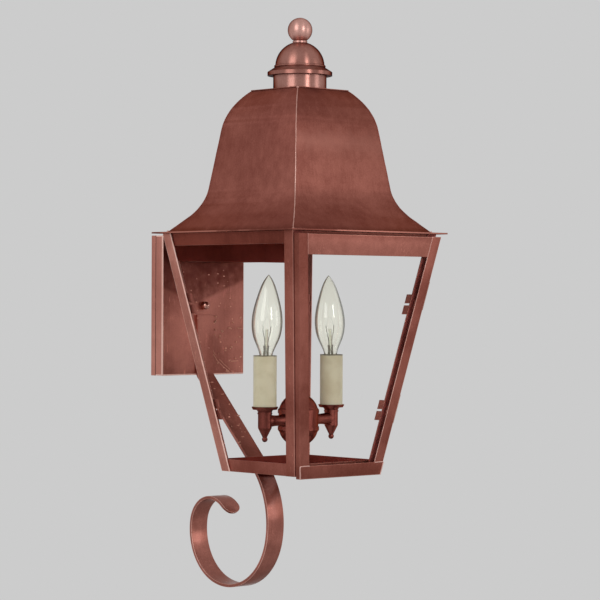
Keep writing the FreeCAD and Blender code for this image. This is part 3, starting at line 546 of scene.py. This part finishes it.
def moulded(name, pale, dark, roughness, waxy, bands=()):
    material, tree, shader = new_material(name)
    vector = object_coordinates(tree)
    grain = add_noise(tree, vector, 900, 2)
    bloom = add_range(tree, add_noise(tree, vector, 70, 4), 0.35, 0.75, 0, 1)
    colour = add_mix(tree, bloom, (*pale, 1), (*dark, 1))
    for band in bands:
        colour = add_painted_band(tree, vector, colour, *band)
    gloss = add_range(tree, grain, 0.3, 0.7, roughness - GLOSS_SPREAD, roughness + GLOSS_SPREAD)
    set_sockets(tree, shader, {
        "Base Color": colour, "Roughness": gloss,
        "Normal": add_bump(tree, grain, MOULD_BUMP, MOULD_GRAIN_DEPTH),
        "Subsurface Weight": waxy, "Subsurface Radius": WAX_RADIUS})
    return material


candle_cream = moulded("candle cream", (0.77, 0.7, 0.49), (0.68, 0.6, 0.395), 0.45, 0.15, [sleeve_rim_shade])
socket_plastic = moulded("socket plastic", (0.035, 0.032, 0.03), (0.02, 0.018, 0.017), 0.55, 0)
print("moulded:", candle_cream.name, socket_plastic.name)

# %% [markdown]
# A sheet-metal edge is never perfectly sharp: the shear rounds it and the light catches it. Each sheet
# piece is copied from its solid, its flat triangles joined back into whole faces, and its edges
# bevelled. One bevel for every edge would be simpler, but a fold, where two wide faces meet, is rounder
# than the sheared rim of the sheet, so each edge has a bevel weight. The bevel has the edge finish.

# %% Bevelled sheet
FLAT_JOIN = math.radians(0.6)
SMOOTH_LIMIT = math.radians(32)
SHARP_ANGLE = math.radians(40)
FOLD_DEPTH = 2.5 * MM
MERGE_DISTANCE = 0.002 * MM
TURNED_THAT_WAY = 0.8
FINISH, EDGE, TURNED = 0, 1, 2


def link(obj):
    scene.collection.objects.link(obj)
    return obj


def evaluated_mesh(obj):
    """The mesh that an object's modifiers or curve settings lead to."""
    graph = bpy.context.evaluated_depsgraph_get()
    mesh = bpy.data.meshes.new_from_object(obj.evaluated_get(graph))
    mesh.name = obj.name
    return mesh


def make_plain(obj):
    """Puts an object's evaluated mesh in the place of its mesh and modifiers."""
    mesh = evaluated_mesh(obj)
    obj.modifiers.clear()
    obj.data = mesh


def joined_copy(node):
    """A copy of a solid's mesh with its loose triangles merged and flat ones joined."""
    mesh = frame["nodes"][node].data.copy()
    mesh.name = node + "_dressed"
    work = bmesh.new()
    work.from_mesh(mesh)
    bmesh.ops.remove_doubles(work, verts=work.verts, dist=MERGE_DISTANCE)
    bmesh.ops.dissolve_limit(work, angle_limit=FLAT_JOIN, verts=work.verts, edges=work.edges)
    work.to_mesh(mesh)
    work.free()
    return mesh


def sort_faces_and_edges(mesh, rim_share, ways, is_flat):
    """Gives each face its finish and each edge its bevel weight.

    Narrow faces of flat pieces are the sheared edges of the sheet. Faces turned to one of the ways
    take the third finish. A fold between wide faces gets a whole bevel, other sharp edges a share.
    """
    work = bmesh.new()
    work.from_mesh(mesh)
    weight = work.edges.layers.float.new("bevel_weight_edge")

    def is_wide(face):
        return face.calc_area() / max(edge.calc_length() for edge in face.edges) > FOLD_DEPTH

    for face in work.faces:
        turned = any(face.normal.dot(way) > TURNED_THAT_WAY for way in ways)
        sheared = is_flat and not is_wide(face)
        face.material_index = EDGE if sheared else TURNED if turned else FINISH
    for edge in work.edges:
        if len(edge.link_faces) != 2 or edge.calc_face_angle(0) < SHARP_ANGLE:
            continue
        fold = edge.is_convex and all(is_wide(face) for face in edge.link_faces)
        edge[weight] = 1.0 if fold else rim_share
    work.to_mesh(mesh)
    work.free()


def dress(node, fold_width, rim_width, finishes, ways, is_flat):
    """Replaces a solid by a bevelled copy with a finish for its faces, its edges and its turned faces."""
    mesh = joined_copy(node)
    mesh.materials.clear()
    for finish in finishes:
        mesh.materials.append(finish)
    sort_faces_and_edges(mesh, rim_width / fold_width, ways, is_flat)
    piece = link(bpy.data.objects.new(node + "_dressed", mesh))
    bevel = piece.modifiers.new("edge", "BEVEL")
    bevel.width = fold_width
    bevel.segments = 3
    bevel.limit_method = "WEIGHT"
    bevel.material = EDGE
    make_plain(piece)
    low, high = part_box(node)
    for vertex in piece.data.vertices:
        vertex.co = [min(max(value, a), b) for value, a, b in zip(vertex.co, low, high)]
    piece.data.shade_smooth()
    piece.data.set_sharp_from_angle(angle=SMOOTH_LIMIT)
    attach(piece, body_of_node[node])
    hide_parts(node)


print("a fold lies between faces wider than", FOLD_DEPTH / MM, "mm")

# %% [markdown]
# Which piece gets which finish is listed: a table names the pieces that differ, and the rest take the
# plain one of their kind. Frame pieces have a finish for the faces turned into the lantern, the plates for
# their left sides, and the front posts also for the seat of the door.

# %% Dressed sheet pieces
FOLD = 0.9 * MM
RIM = 0.28 * MM
STRAP_EDGE = 0.5 * MM
COVER_FOLD = 1.3 * MM
LEFTWARDS = Vector((-1, 0, 0))
FORWARDS = Vector((0, -1, 0))
WAYS_IN = {"left": -LEFTWARDS, "right": LEFTWARDS, "front": -FORWARDS, "back": FORWARDS}
SHEET_PREFIXES = (
    "roof_", "post_", "top_rail_", "bottom_rail_", "door_stile", "door_top", "door_bottom", "plate_rear",
    "plate_cover", "arm_box", "scroll_strap")
FRAME_PREFIXES = ("post_", "top_rail_", "bottom_rail_", "door_stile_")
CURVED = ("roof_panel_", "scroll_strap")
OWN_FINISH = {
    "scroll_strap": strap_copper, "plate_cover": plate_copper, "plate_rear": plate_copper,
    "roof_panel_front": roof_front, "post_front_left": post_copper, "bottom_rail_left": low_rail_copper,
    "door_top_rail": door_copper, "door_bottom_rail": foot_copper, "post_back_left": left_post_copper,
    "cap_nut": nut_copper, "glass_clips": clip_copper, "door_glass_clips": clip_copper,
    "finial": ball_copper, "vent_cap": spun_copper, "chimney_neck": neck_copper, "stem": stem_copper}
for name in ("arm_box", "top_rail_left", "top_rail_back", "bottom_rail_back", "bottom_rail_right",
             "door_catch"):
    OWN_FINISH[name] = darker_copper
OWN_EDGE = {
    "plate_cover": painted_highlight_edge, "scroll_strap": cut_edge_highlight, "post_back_left": painted_highlight_edge,
    "door_stile_right": cut_edge_highlight, "roof_flange": flange_edge, "door_stile_left": sheet_copper,
    "plate_rear": plate_side_highlight}
OWN_FOLD = {"scroll_strap": STRAP_EDGE, "plate_cover": COVER_FOLD}
OWN_RIM = {"scroll_strap": STRAP_EDGE}


def turned_faces(name):
    """The ways in which faces have to turn for a finish of their own, and that finish."""
    if name.startswith("plate_"):
        return [LEFTWARDS], plate_side_highlight
    if not name.startswith(FRAME_PREFIXES):
        return [], inner_copper
    ways = [WAYS_IN[word] for word in name.split("_") if word in WAYS_IN]
    if name.startswith("post_front"):
        return ways + [FORWARDS], door_seat_copper
    return ways, back_post_copper if name.startswith("post_back") else inner_copper


sheet_nodes = [name for name in frame["nodes"] if name.startswith(SHEET_PREFIXES)]
for name in sheet_nodes:
    is_roof = name.startswith("roof_")
    ways, turned = turned_faces(name)
    finish = OWN_FINISH.get(name, roof_copper if is_roof else sheet_copper)
    edge_finish = OWN_EDGE.get(name, old_solder if is_roof else worn_edge)
    dress(name, OWN_FOLD.get(name, FOLD), OWN_RIM.get(name, RIM), (finish, edge_finish, turned), ways,
          not name.startswith(CURVED))
print("dressed", len(sheet_nodes), "sheet pieces")

# %% [markdown]
# The strap's upper end lies flat on the backplate and takes the plate's finish, edges too, painted shade
# and all. Behind the lantern the bar takes a darker, duller copy: painted shade, with no bright edges.

# %% Strap end on the backplate
SHELTERED = 3
strap = bpy.data.objects["scroll_strap_dressed"]
strap.data.materials[TURNED] = plate_copper
strap.data.materials.append(strap_shaded_dull)
for face in strap.data.polygons:
    if face.center.z > cover_low[2]:
        face.material_index = TURNED
    elif face.center.z > SHELTERED_TO:
        face.material_index = SHELTERED
print("strap faces on the plate:", sum(face.material_index == TURNED for face in strap.data.polygons))

# %% [markdown]
# Everything else is turned, blown or moulded. The solids already have those shapes, so they stay as
# they are and only take a finish.

# %% Finishes on the remaining solids
FINISH_OF_SLOT = {
    "copper": sheet_copper, "cluster_metal": cluster_copper, "hinge_brass": hinge_brass,
    "lamp_cap_brass": brass, "stud_steel": steel, "pane_glass": pane_glass, "bulb_glass": bulb_glass,
    "candle_cream": candle_cream, "socket_dark": socket_plastic}
kept = [name for name in frame["nodes"] if name not in sheet_nodes]
for name in kept:
    mesh = frame["nodes"][name].data
    mesh.materials.clear()
    mesh.materials.append(OWN_FINISH.get(name, FINISH_OF_SLOT[slot_of_node[name]]))
print("finished", len(kept), "solids as they are")

# %% [markdown]
# The roof is four bell-curved sheets soldered along their mitres, and the seam shows as a thin pale
# bead. A bevelled curve would give an even tube, but a bead's thickness wanders, so Geometry Nodes make
# it: the path goes in as bare edges, and named inputs set how thick it is and how far it wanders.

# %% Solder bead node tree
MATERIAL = "NodeSocketMaterial"
BEAD_LUMPS = 130
BEAD_SIDES = 8
BEAD_STEP = 1.4 * MM


def new_geometry_tree(name, inputs):
    geometry = [("Geometry", "NodeSocketGeometry")]
    return new_group(name, geometry + inputs, geometry, kind="GeometryNodeTree")


def push_about(tree, geometry, lumps, reach):
    """Moves points all ways by a noise's colour, whose middle is taken off first."""
    shift = add_node(tree, "ShaderNodeVectorMath", {0: lumps["Color"], 1: (0.5, 0.5, 0.5)},
                     operation="SUBTRACT")
    push = add_node(tree, "ShaderNodeVectorMath", {0: shift["Vector"], "Scale": reach}, operation="SCALE")
    moved = {"Geometry": geometry, "Offset": push["Vector"]}
    return add_node(tree, "GeometryNodeSetPosition", moved)["Geometry"]


def end_tree(tree, end, geometry, finish):
    """Every tree ends here: smooth, made real and painted."""
    smooth = add_node(tree, "GeometryNodeSetShadeSmooth", {"Geometry": geometry})
    real = add_node(tree, "GeometryNodeRealizeInstances", {"Geometry": smooth["Geometry"]})
    paint = add_node(tree, "GeometryNodeSetMaterial", {"Geometry": real["Geometry"], "Material": finish})
    set_sockets(tree, end, {"Geometry": paint["Geometry"]})


def make_bead_tree():
    tree, given, end = new_geometry_tree("solder bead", [
        ("Thickness", FLOAT), ("Wander", FLOAT), ("Step", FLOAT), ("Finish", MATERIAL)])
    lumps = add_node(tree, "ShaderNodeTexNoise", {"Scale": BEAD_LUMPS})
    path = add_node(tree, "GeometryNodeMeshToCurve", {"Mesh": given["Geometry"]})
    even = add_node(tree, "GeometryNodeResampleCurve",
                    {"Curve": path["Curve"], "Length": given["Step"]}, mode="LENGTH")
    wandering = push_about(tree, even["Curve"], lumps, given["Wander"])
    outline = add_node(tree, "GeometryNodeCurvePrimitiveCircle",
                       {"Resolution": BEAD_SIDES, "Radius": given["Thickness"]})
    swelling = add_node(tree, "ShaderNodeMapRange",
                        {"Value": lumps["Fac"], "To Min": 0.55, "To Max": 1.45})
    tube = add_node(tree, "GeometryNodeCurveToMesh", {
        "Curve": wandering, "Profile Curve": outline["Curve"],
        "Scale": swelling["Result"], "Fill Caps": True})
    end_tree(tree, end, tube["Mesh"], given["Finish"])
    return tree


def run_tree(name, shape, tree, settings, body="lantern"):
    """Runs a tree on a shape of points, edges and faces, and keeps the result as a plain mesh."""
    mesh = bpy.data.meshes.new(name)
    mesh.from_pydata(*shape)
    piece = link(bpy.data.objects.new(name, mesh))
    modifier = piece.modifiers.new(name, "NODES")
    modifier.node_group = tree
    for socket in tree.interface.items_tree:
        if socket.in_out == "INPUT" and socket.name in settings:
            modifier[socket.identifier] = settings[socket.name]
    make_plain(piece)
    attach(piece, body)
    print(name, "has", len(piece.data.polygons), "faces")


def numbered(lists):
    """The points of some lists in one list, and the numbers there of each list's points."""
    points = []
    runs = []
    for part in lists:
        runs.append(range(len(points), len(points) + len(part)))
        points.extend(part)
    return points, runs


def bead(name, lines, thickness, wander, finish, body="lantern"):
    """A bead along lines, each a list of points."""
    points, runs = numbered(lines)
    edges = [pair for run in runs for pair in zip(run, run[1:])]
    settings = {"Thickness": thickness, "Wander": wander, "Step": BEAD_STEP, "Finish": finish}
    run_tree(name, (points, edges, []), bead_tree, settings, body)


bead_tree = make_bead_tree()
print("tree", bead_tree.name, "with", len(bead_tree.nodes), "nodes")

# %% [markdown]
# The mitre line is read from a roof panel: the points its outer faces share with the mitre plane. It is
# turned round the axis for the other three. Only the front left ridge, which faces the lamps, has pale
# solder, with some more along the foot of the roof on either side of it: partly a painted highlight.
# The other ridges have thinner, darker old solder.

# %% Solder on the roof
ON_MITRE = 0.02 * MM
OUTER_FACE = -0.05
FOOT_FRONT = 44 * MM
FOOT_SIDE = 30 * MM


def mitre_line(node):
    """Points of the front panel's outer face on its left mitre, from the eaves up."""
    mesh = frame["nodes"][node].data
    found = {}
    for face in mesh.polygons:
        if face.normal.y > OUTER_FACE:
            continue
        for index in face.vertices:
            point = mesh.vertices[index].co
            if abs(point.x - (point.y - AXIS_Y)) < ON_MITRE:
                found[round(point.z, 6)] = point.copy()
    return [found[z] for z in sorted(found)]


def quarter_turn(point, turns):
    angle = math.radians(90 * turns)
    x, y = point.x, point.y - AXIS_Y
    return Vector((x * math.cos(angle) - y * math.sin(angle),
                   x * math.sin(angle) + y * math.cos(angle) + AXIS_Y, point.z))


ridge = mitre_line("roof_panel_front")
ridges = [[quarter_turn(point, turns) for point in ridge] for turns in range(4)]
foot = ridges[0][0]
foot_lines = [[foot, foot + Vector((FOOT_FRONT, 0, 0))], [foot, foot + Vector((0, FOOT_SIDE, 0))]]
# Pale solder on the near ridge only, partly a painted highlight.
bead("ridge_solder_near", ridges[:1], 0.5 * MM, 0.9 * MM, solder)
bead("roof_foot_solder", foot_lines, 0.5 * MM, 0.8 * MM, solder)
bead("ridge_solder_far", ridges[1:], 0.35 * MM, 0.4 * MM, old_solder)

# %% [markdown]
# The door's four corners are soldered as well, and those beads ride on the door. The left post has a
# bright line along its front edge, too thick for a bevel: a painted highlight. The neck stands in a
# ring of old solder.
# All of them are the same bead, on paths read from the corners of the solids.

# %% Solder on the door, the post and the neck
END_DEPTH = 0.5 * MM
TOP_JOINT_INSET = Vector((0, 0.3 * MM, 0))
RING_STEPS = 72


def front_corner(node, sideways, upper):
    """The outermost front vertex at one end of a piece: sideways is -1 for left and 1 for right."""
    points = [vertex.co.copy() for vertex in frame["nodes"][node].data.vertices]
    level = max(point.z for point in points) if upper else min(point.z for point in points)
    end = [point for point in points if abs(point.z - level) < END_DEPTH]
    return max(end, key=lambda point: sideways * point.x - point.y)


def ring(radius, z):
    angles = [2 * math.pi * i / RING_STEPS for i in range(RING_STEPS + 1)]
    return [Vector((radius * math.cos(a), AXIS_Y + radius * math.sin(a), z)) for a in angles]


lower_joints = []
upper_joints = []
for side, sideways in (("left", -1), ("right", 1)):
    lower_joints.append([front_corner("door_stile_" + side, -sideways, False),
                         front_corner("door_bottom_rail", sideways, True),
                         front_corner("door_bottom_rail", sideways, False)])
    upper_joints.append([front_corner("door_top_rail", sideways, upper) + TOP_JOINT_INSET
                         for upper in (False, True)])
bead("door_corner_solder", lower_joints, 0.6 * MM, 0.9 * MM, solder, "door")
bead("door_top_solder", upper_joints, 0.35 * MM, 0.5 * MM, solder, "door")
# A bright line along the left post's front edge: a painted highlight.
post_front_edge = [front_corner("post_back_left", -1, upper) for upper in (False, True)]
bead("post_edge_highlight", [post_front_edge], 0.7 * MM, 0.3 * MM, painted_highlight_edge)
neck_low, neck_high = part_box("chimney_neck")
neck_radius = (neck_high[0] - neck_low[0]) / 2
bead("neck_solder", [ring(neck_radius, neck_low[2])], 0.5 * MM, 0.4 * MM, old_solder)

# %% [markdown]
# Where pieces meet in a corner the solder stands in a blob, and small splashes of flux are left on the
# backplate, the left pane and the bar. A texture could paint them, but they stand up and catch light,
# so they are geometry. One tree sets a lumpy drop on each given point, and the other strews such drops
# over given faces, with a fixed seed.

# %% Blob and speck node trees
WHOLE = "NodeSocketInt"
DROP_LUMPS = 900
DROP_LEAST = (0.35, 0.35, 0.35)
DROP_MOST = (2.0, 1.0, 1.0)


def add_drops(tree, given, end, points):
    """What both trees share: drops of random size on points, made real, lumpy and painted."""
    ball = add_node(tree, "GeometryNodeMeshIcoSphere", {"Radius": given["Size"], "Subdivisions": 2})
    size = add_node(tree, "FunctionNodeRandomValue",
                    {"Min": DROP_LEAST, "Max": DROP_MOST, "Seed": given["Seed"]}, data_type="FLOAT_VECTOR")
    drops = add_node(tree, "GeometryNodeInstanceOnPoints", {
        "Points": points, "Instance": ball["Mesh"], "Scale": size["Value"]})
    real = add_node(tree, "GeometryNodeRealizeInstances", {"Geometry": drops["Instances"]})
    lumps = add_node(tree, "ShaderNodeTexNoise", {"Scale": DROP_LUMPS})
    lumpy = push_about(tree, real["Geometry"], lumps, given["Size"])
    end_tree(tree, end, lumpy, given["Finish"])


def make_blob_tree():
    tree, given, end = new_geometry_tree("solder blobs", [
        ("Size", FLOAT), ("Seed", WHOLE), ("Finish", MATERIAL)])
    points = add_node(tree, "GeometryNodeMeshToPoints", {"Mesh": given["Geometry"]})
    add_drops(tree, given, end, points["Points"])
    return tree


def make_speck_tree():
    tree, given, end = new_geometry_tree("strewn specks", [
        ("Size", FLOAT), ("Seed", WHOLE), ("Density", FLOAT), ("Finish", MATERIAL)])
    strew = add_node(tree, "GeometryNodeDistributePointsOnFaces", {
        "Mesh": given["Geometry"], "Density": given["Density"], "Seed": given["Seed"]})
    add_drops(tree, given, end, strew["Points"])
    return tree


blob_tree = make_blob_tree()
speck_tree = make_speck_tree()
print("trees", blob_tree.name, "and", speck_tree.name)

# %% [markdown]
# The blobs sit at the ends of the ridges and where the strap meets the back rail. The specks lie on
# the lower right of the backplate, on the left pane along its back post, and on the sheltered bar. The
# plate has scuffs too: thin ragged lines, made as beads.

# %% Blobs, specks and scuffs
RIDGE_END_RISE = Vector((0, 0, 0.4 * MM))
SEAT_ACROSS = (-9, -4, 2, 8)
SEAT_INSET = 6 * MM
SEAT_RISE = 0.6 * MM
FACING_FORWARD = -0.5
PANE_PATCH = {"back": 0.04, "front": 0.46, "low": 0.4, "high": 0.85}
PLATE_CORNER = [(0, -72), (54, -72), (54, -10), (0, -10)]
PLATE_SCUFFS = [
    [(5.7, -31.5), (8.8, -42.2), (14, -52.8), (19.2, -59.7), (28.5, -66.5), (36.8, -72)],
    [(9, -36), (12, -46), (16, -53)], [(22, -58), (30, -64), (37, -69)],
    [(38.8, -60.5), (49.2, -60)], [(48, -24), (54, -24.6)]]


def pane_patch(node, back, front, low, high):
    """Part of a side pane's outer face, as shares from back to front and from low to high."""
    mesh = frame["nodes"][node].data
    outward = math.copysign(1, sum(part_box(node)[i][0] for i in (0, 1)))
    outer = [face for face in mesh.polygons if face.normal.x * outward > TURNED_THAT_WAY]
    corners = {tuple(mesh.vertices[index].co) for face in outer for index in face.vertices}
    ranked = sorted((Vector(corner) for corner in corners), key=lambda point: point.z)
    rows = [sorted(pair, key=lambda point: -point.y) for pair in (ranked[:2], ranked[-2:])]

    def at(along, up):
        return rows[0][0].lerp(rows[0][1], along).lerp(rows[1][0].lerp(rows[1][1], along), up)

    return [at(back, low), at(front, low), at(front, high), at(back, high)]


def on_plate(points):
    """Points of the plate's face, given in millimetres across and up from its middle."""
    return [Vector((x * MM, PLATE_FACE_Y, PLATE_MIDDLE_Z + z * MM)) for x, z in points]


def place_blobs(name, points, size, seed, finish):
    run_tree(name, (points, [], []), blob_tree, {"Size": size, "Seed": seed, "Finish": finish})


def strew_specks(name, patches, size, density, seed):
    """Specks of flux on patches, each a list of corner points."""
    points, faces = numbered(patches)
    settings = {"Size": size, "Seed": seed, "Density": density, "Finish": dried_flux}
    run_tree(name, (points, [], faces), speck_tree, settings)


ridge_ends = [line[0] + RIDGE_END_RISE for line in ridges] + [ridges[0][-1]]
place_blobs("ridge_end_solder", ridge_ends, 1.5 * MM, 3, solder)
rail_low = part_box("bottom_rail_back")[0]
strap_seat = [Vector((x * MM, rail_low[1] + SEAT_INSET, rail_low[2] + SEAT_RISE)) for x in SEAT_ACROSS]
place_blobs("strap_solder", strap_seat, 1.6 * MM, 5, old_solder)
strew_specks("plate_specks", [on_plate(PLATE_CORNER)], size=1.5 * MM, density=9000, seed=11)
strew_specks("pane_specks", [pane_patch("glass_left", **PANE_PATCH)], size=0.65 * MM, density=4500, seed=4)
bar_front = [
    [strap.data.vertices[index].co.copy() for index in face.vertices] for face in strap.data.polygons
    if face.material_index == SHELTERED and face.normal.y < FACING_FORWARD]
strew_specks("strap_specks", bar_front, size=1.1 * MM, density=8000, seed=6)
bead("plate_scuffs", [on_plate(points) for points in PLATE_SCUFFS], 0.45 * MM, 0.8 * MM, dried_flux)

# %% [markdown]
# Inside each clear lamp a glass stem carries two lead wires and a looped filament. They are thin, even
# and follow paths, so each is a short curve with a round section, turned into a mesh. Their places are
# given along the lamp's own axis, as shares of its height, because the lamps lean a little.

# %% Lamp insides
STEM_RADIUS = 1.5 * MM
POST_RADIUS = 1.3 * MM
LEAD_RADIUS = 0.4 * MM
FILAMENT_RADIUS = 0.12 * MM
LEADS_APART = 2.4 * MM
LEADS_PINCHED = 1.6 * MM
LEADS_SPREAD = 5.5 * MM
FILAMENT_STEPS = 40
FILAMENT_WAVE = 0.6 * MM
FILAMENT_LEVEL = 0.4
FILAMENT_ARCH = 0.1


def wire_piece(name, paths, radius, finish):
    """Round wires along lists of points."""
    curve = bpy.data.curves.new(name, "CURVE")
    curve.dimensions = "3D"
    curve.bevel_depth = radius
    curve.bevel_resolution = 2
    curve.use_fill_caps = True
    for path in paths:
        spline = curve.splines.new("NURBS")
        spline.points.add(len(path) - 1)
        for target, point in zip(spline.points, path):
            target.co = (*point, 1)
        spline.order_u = 3
        spline.use_endpoint_u = True
        spline.resolution_u = 4
    holder = link(bpy.data.objects.new(name, curve))
    mesh = evaluated_mesh(holder)
    bpy.data.objects.remove(holder)
    mesh.materials.clear()
    mesh.materials.append(finish)
    piece = link(bpy.data.objects.new(name, mesh))
    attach(piece, "lantern")


def lamp_inside(side):
    """Stem, leads and filament along the lamp's own axis, from its cap to its tip."""
    low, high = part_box("bulb_base_" + side)
    cap = (Vector(low) + Vector(high)) / 2
    tip = max((vertex.co for vertex in frame["nodes"]["bulb_glass_" + side].data.vertices),
              key=lambda point: point.z)
    up = (tip - cap).normalized()
    across = Vector((0, 1, 0)).cross(up)
    start = cap + up * (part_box("bulb_glass_" + side)[0][2] - cap.z) / up.z
    height = (tip - start).length

    def at(x, y, share):
        return start + across * x + Vector((0, y, 0)) + up * (share * height)

    stem = [at(0, 0, share) for share in (0.1, 0.18, 0.26, 0.36)]
    posts = []
    leads = []
    for way in (-1, 1):
        apart, pinched, spread = way * LEADS_APART, way * LEADS_PINCHED, way * LEADS_SPREAD
        posts.append([at(apart, 0, 0.005), at(apart, 0, 0.07), at(pinched, 0, 0.11), at(apart, 0, 0.17)])
        leads.append([at(apart, 0, 0.16), at(pinched, 0, 0.22), at(spread, 0, 0.34), at(spread, 0, 0.4)])
    filament = []
    for i in range(FILAMENT_STEPS + 1):
        t = i / FILAMENT_STEPS
        rise = FILAMENT_LEVEL + FILAMENT_ARCH * math.sin(math.pi * t)
        filament.append(at((2 * t - 1) * LEADS_SPREAD, FILAMENT_WAVE * math.sin(i * 1.9), rise))
    wire_piece("lamp_stem_" + side, [stem], STEM_RADIUS, stem_glass)
    wire_piece("lamp_posts_" + side, posts, POST_RADIUS, lead_wire)
    wire_piece("lamp_leads_" + side, leads, LEAD_RADIUS, lead_wire)
    wire_piece("lamp_filament_" + side, [filament], FILAMENT_RADIUS, steel)


for side in ("left", "right"):
    lamp_inside(side)
print("lamp insides made")

# %% [markdown]
# A plain pale floor well below the light, a soft studio and a flat grey background. Light Path gives
# the camera, reflections and glass the flat grey, while the rest of the light comes from three area
# lamps and a soft white world.

# %% Stage, light and background
BACKDROP = (0.604, 0.604, 0.604, 1)
WORLD_WHITE = (1, 1, 1, 1)
WORLD_STRENGTH = 0.5
FLOOR_GREY = (0.62, 0.62, 0.62, 1)
FLOOR_ROUGHNESS = 0.9
FLOOR_DROP = 0.42
FLOOR_HALF = 0.8
LIGHT_TARGET = Vector((0, AXIS_Y, 0.05))


def make_floor():
    z = cad_box[0][2] - FLOOR_DROP
    ways = ((-1, -1), (1, -1), (1, 1), (-1, 1))
    mesh = bpy.data.meshes.new("floor")
    mesh.from_pydata([(x * FLOOR_HALF, AXIS_Y + y * FLOOR_HALF, z) for x, y in ways], [], [(0, 1, 2, 3)])
    floor = link(bpy.data.objects.new("floor", mesh))
    material, tree, shader = new_material("pale floor")
    set_sockets(tree, shader, {"Base Color": FLOOR_GREY, "Roughness": FLOOR_ROUGHNESS})
    mesh.materials.append(material)


def make_world():
    world = bpy.data.worlds.new("studio")
    scene.world = world
    world.use_nodes = True
    tree = world.node_tree
    tree.nodes.clear()
    rays = add_node(tree, "ShaderNodeLightPath", {})
    seen = add_math(tree, "MAXIMUM", rays["Is Camera Ray"], rays["Is Transmission Ray"])
    seen = add_math(tree, "MAXIMUM", seen, rays["Is Glossy Ray"])
    soft = add_node(tree, "ShaderNodeBackground", {"Color": WORLD_WHITE, "Strength": WORLD_STRENGTH})
    flat = add_node(tree, "ShaderNodeBackground", {"Color": BACKDROP})
    pick = add_node(tree, "ShaderNodeMixShader", {
        "Fac": seen, 1: soft["Background"], 2: flat["Background"]})
    add_node(tree, "ShaderNodeOutputWorld", {"Surface": pick["Shader"]})


def softbox(name, place, width, height, power):
    light = bpy.data.lights.new(name, "AREA")
    light.shape = "RECTANGLE"
    light.size = width
    light.size_y = height
    light.energy = power
    lamp = link(bpy.data.objects.new(name, light))
    lamp.location = place
    lamp.rotation_euler = (LIGHT_TARGET - Vector(place)).to_track_quat("-Z", "Y").to_euler()


make_floor()
make_world()
softbox("front light", (-0.4, AXIS_Y - 2.4, 0.7), width=0.45, height=0.8, power=10)
softbox("left light", (-2.4, AXIS_Y - 0.45, 1.1), width=1.3, height=1.8, power=15)
softbox("right light", (1.43, AXIS_Y - 1.97, 0.25), width=0.8, height=0.9, power=3.4)
print("stage and lights set")

# %% [markdown]
# The camera was fitted to the photograph's edges: level with the middle of the lantern, seen from the
# front left, with a long lens.

# %% Camera
VIEW_ANGLE = math.radians(42.5)
VIEW_DISTANCE = 2.451
VIEW_HEIGHT = 6.5 * MM
VIEW_ROLL = math.radians(-0.24)
VIEW_SHIFT = 0.0018
LENS = 142.8
camera_data = bpy.data.cameras.new("photo camera")
camera_data.lens = LENS
camera_data.shift_x = VIEW_SHIFT
camera = link(bpy.data.objects.new("photo camera", camera_data))
camera.location = (-math.sin(VIEW_ANGLE) * VIEW_DISTANCE, AXIS_Y - math.cos(VIEW_ANGLE) * VIEW_DISTANCE,
                   VIEW_HEIGHT)
camera.rotation_euler = (math.radians(90), VIEW_ROLL, -VIEW_ANGLE)
scene.camera = camera
scene.view_settings.view_transform = "Standard"
print("camera at", [round(v, 3) for v in camera.location])
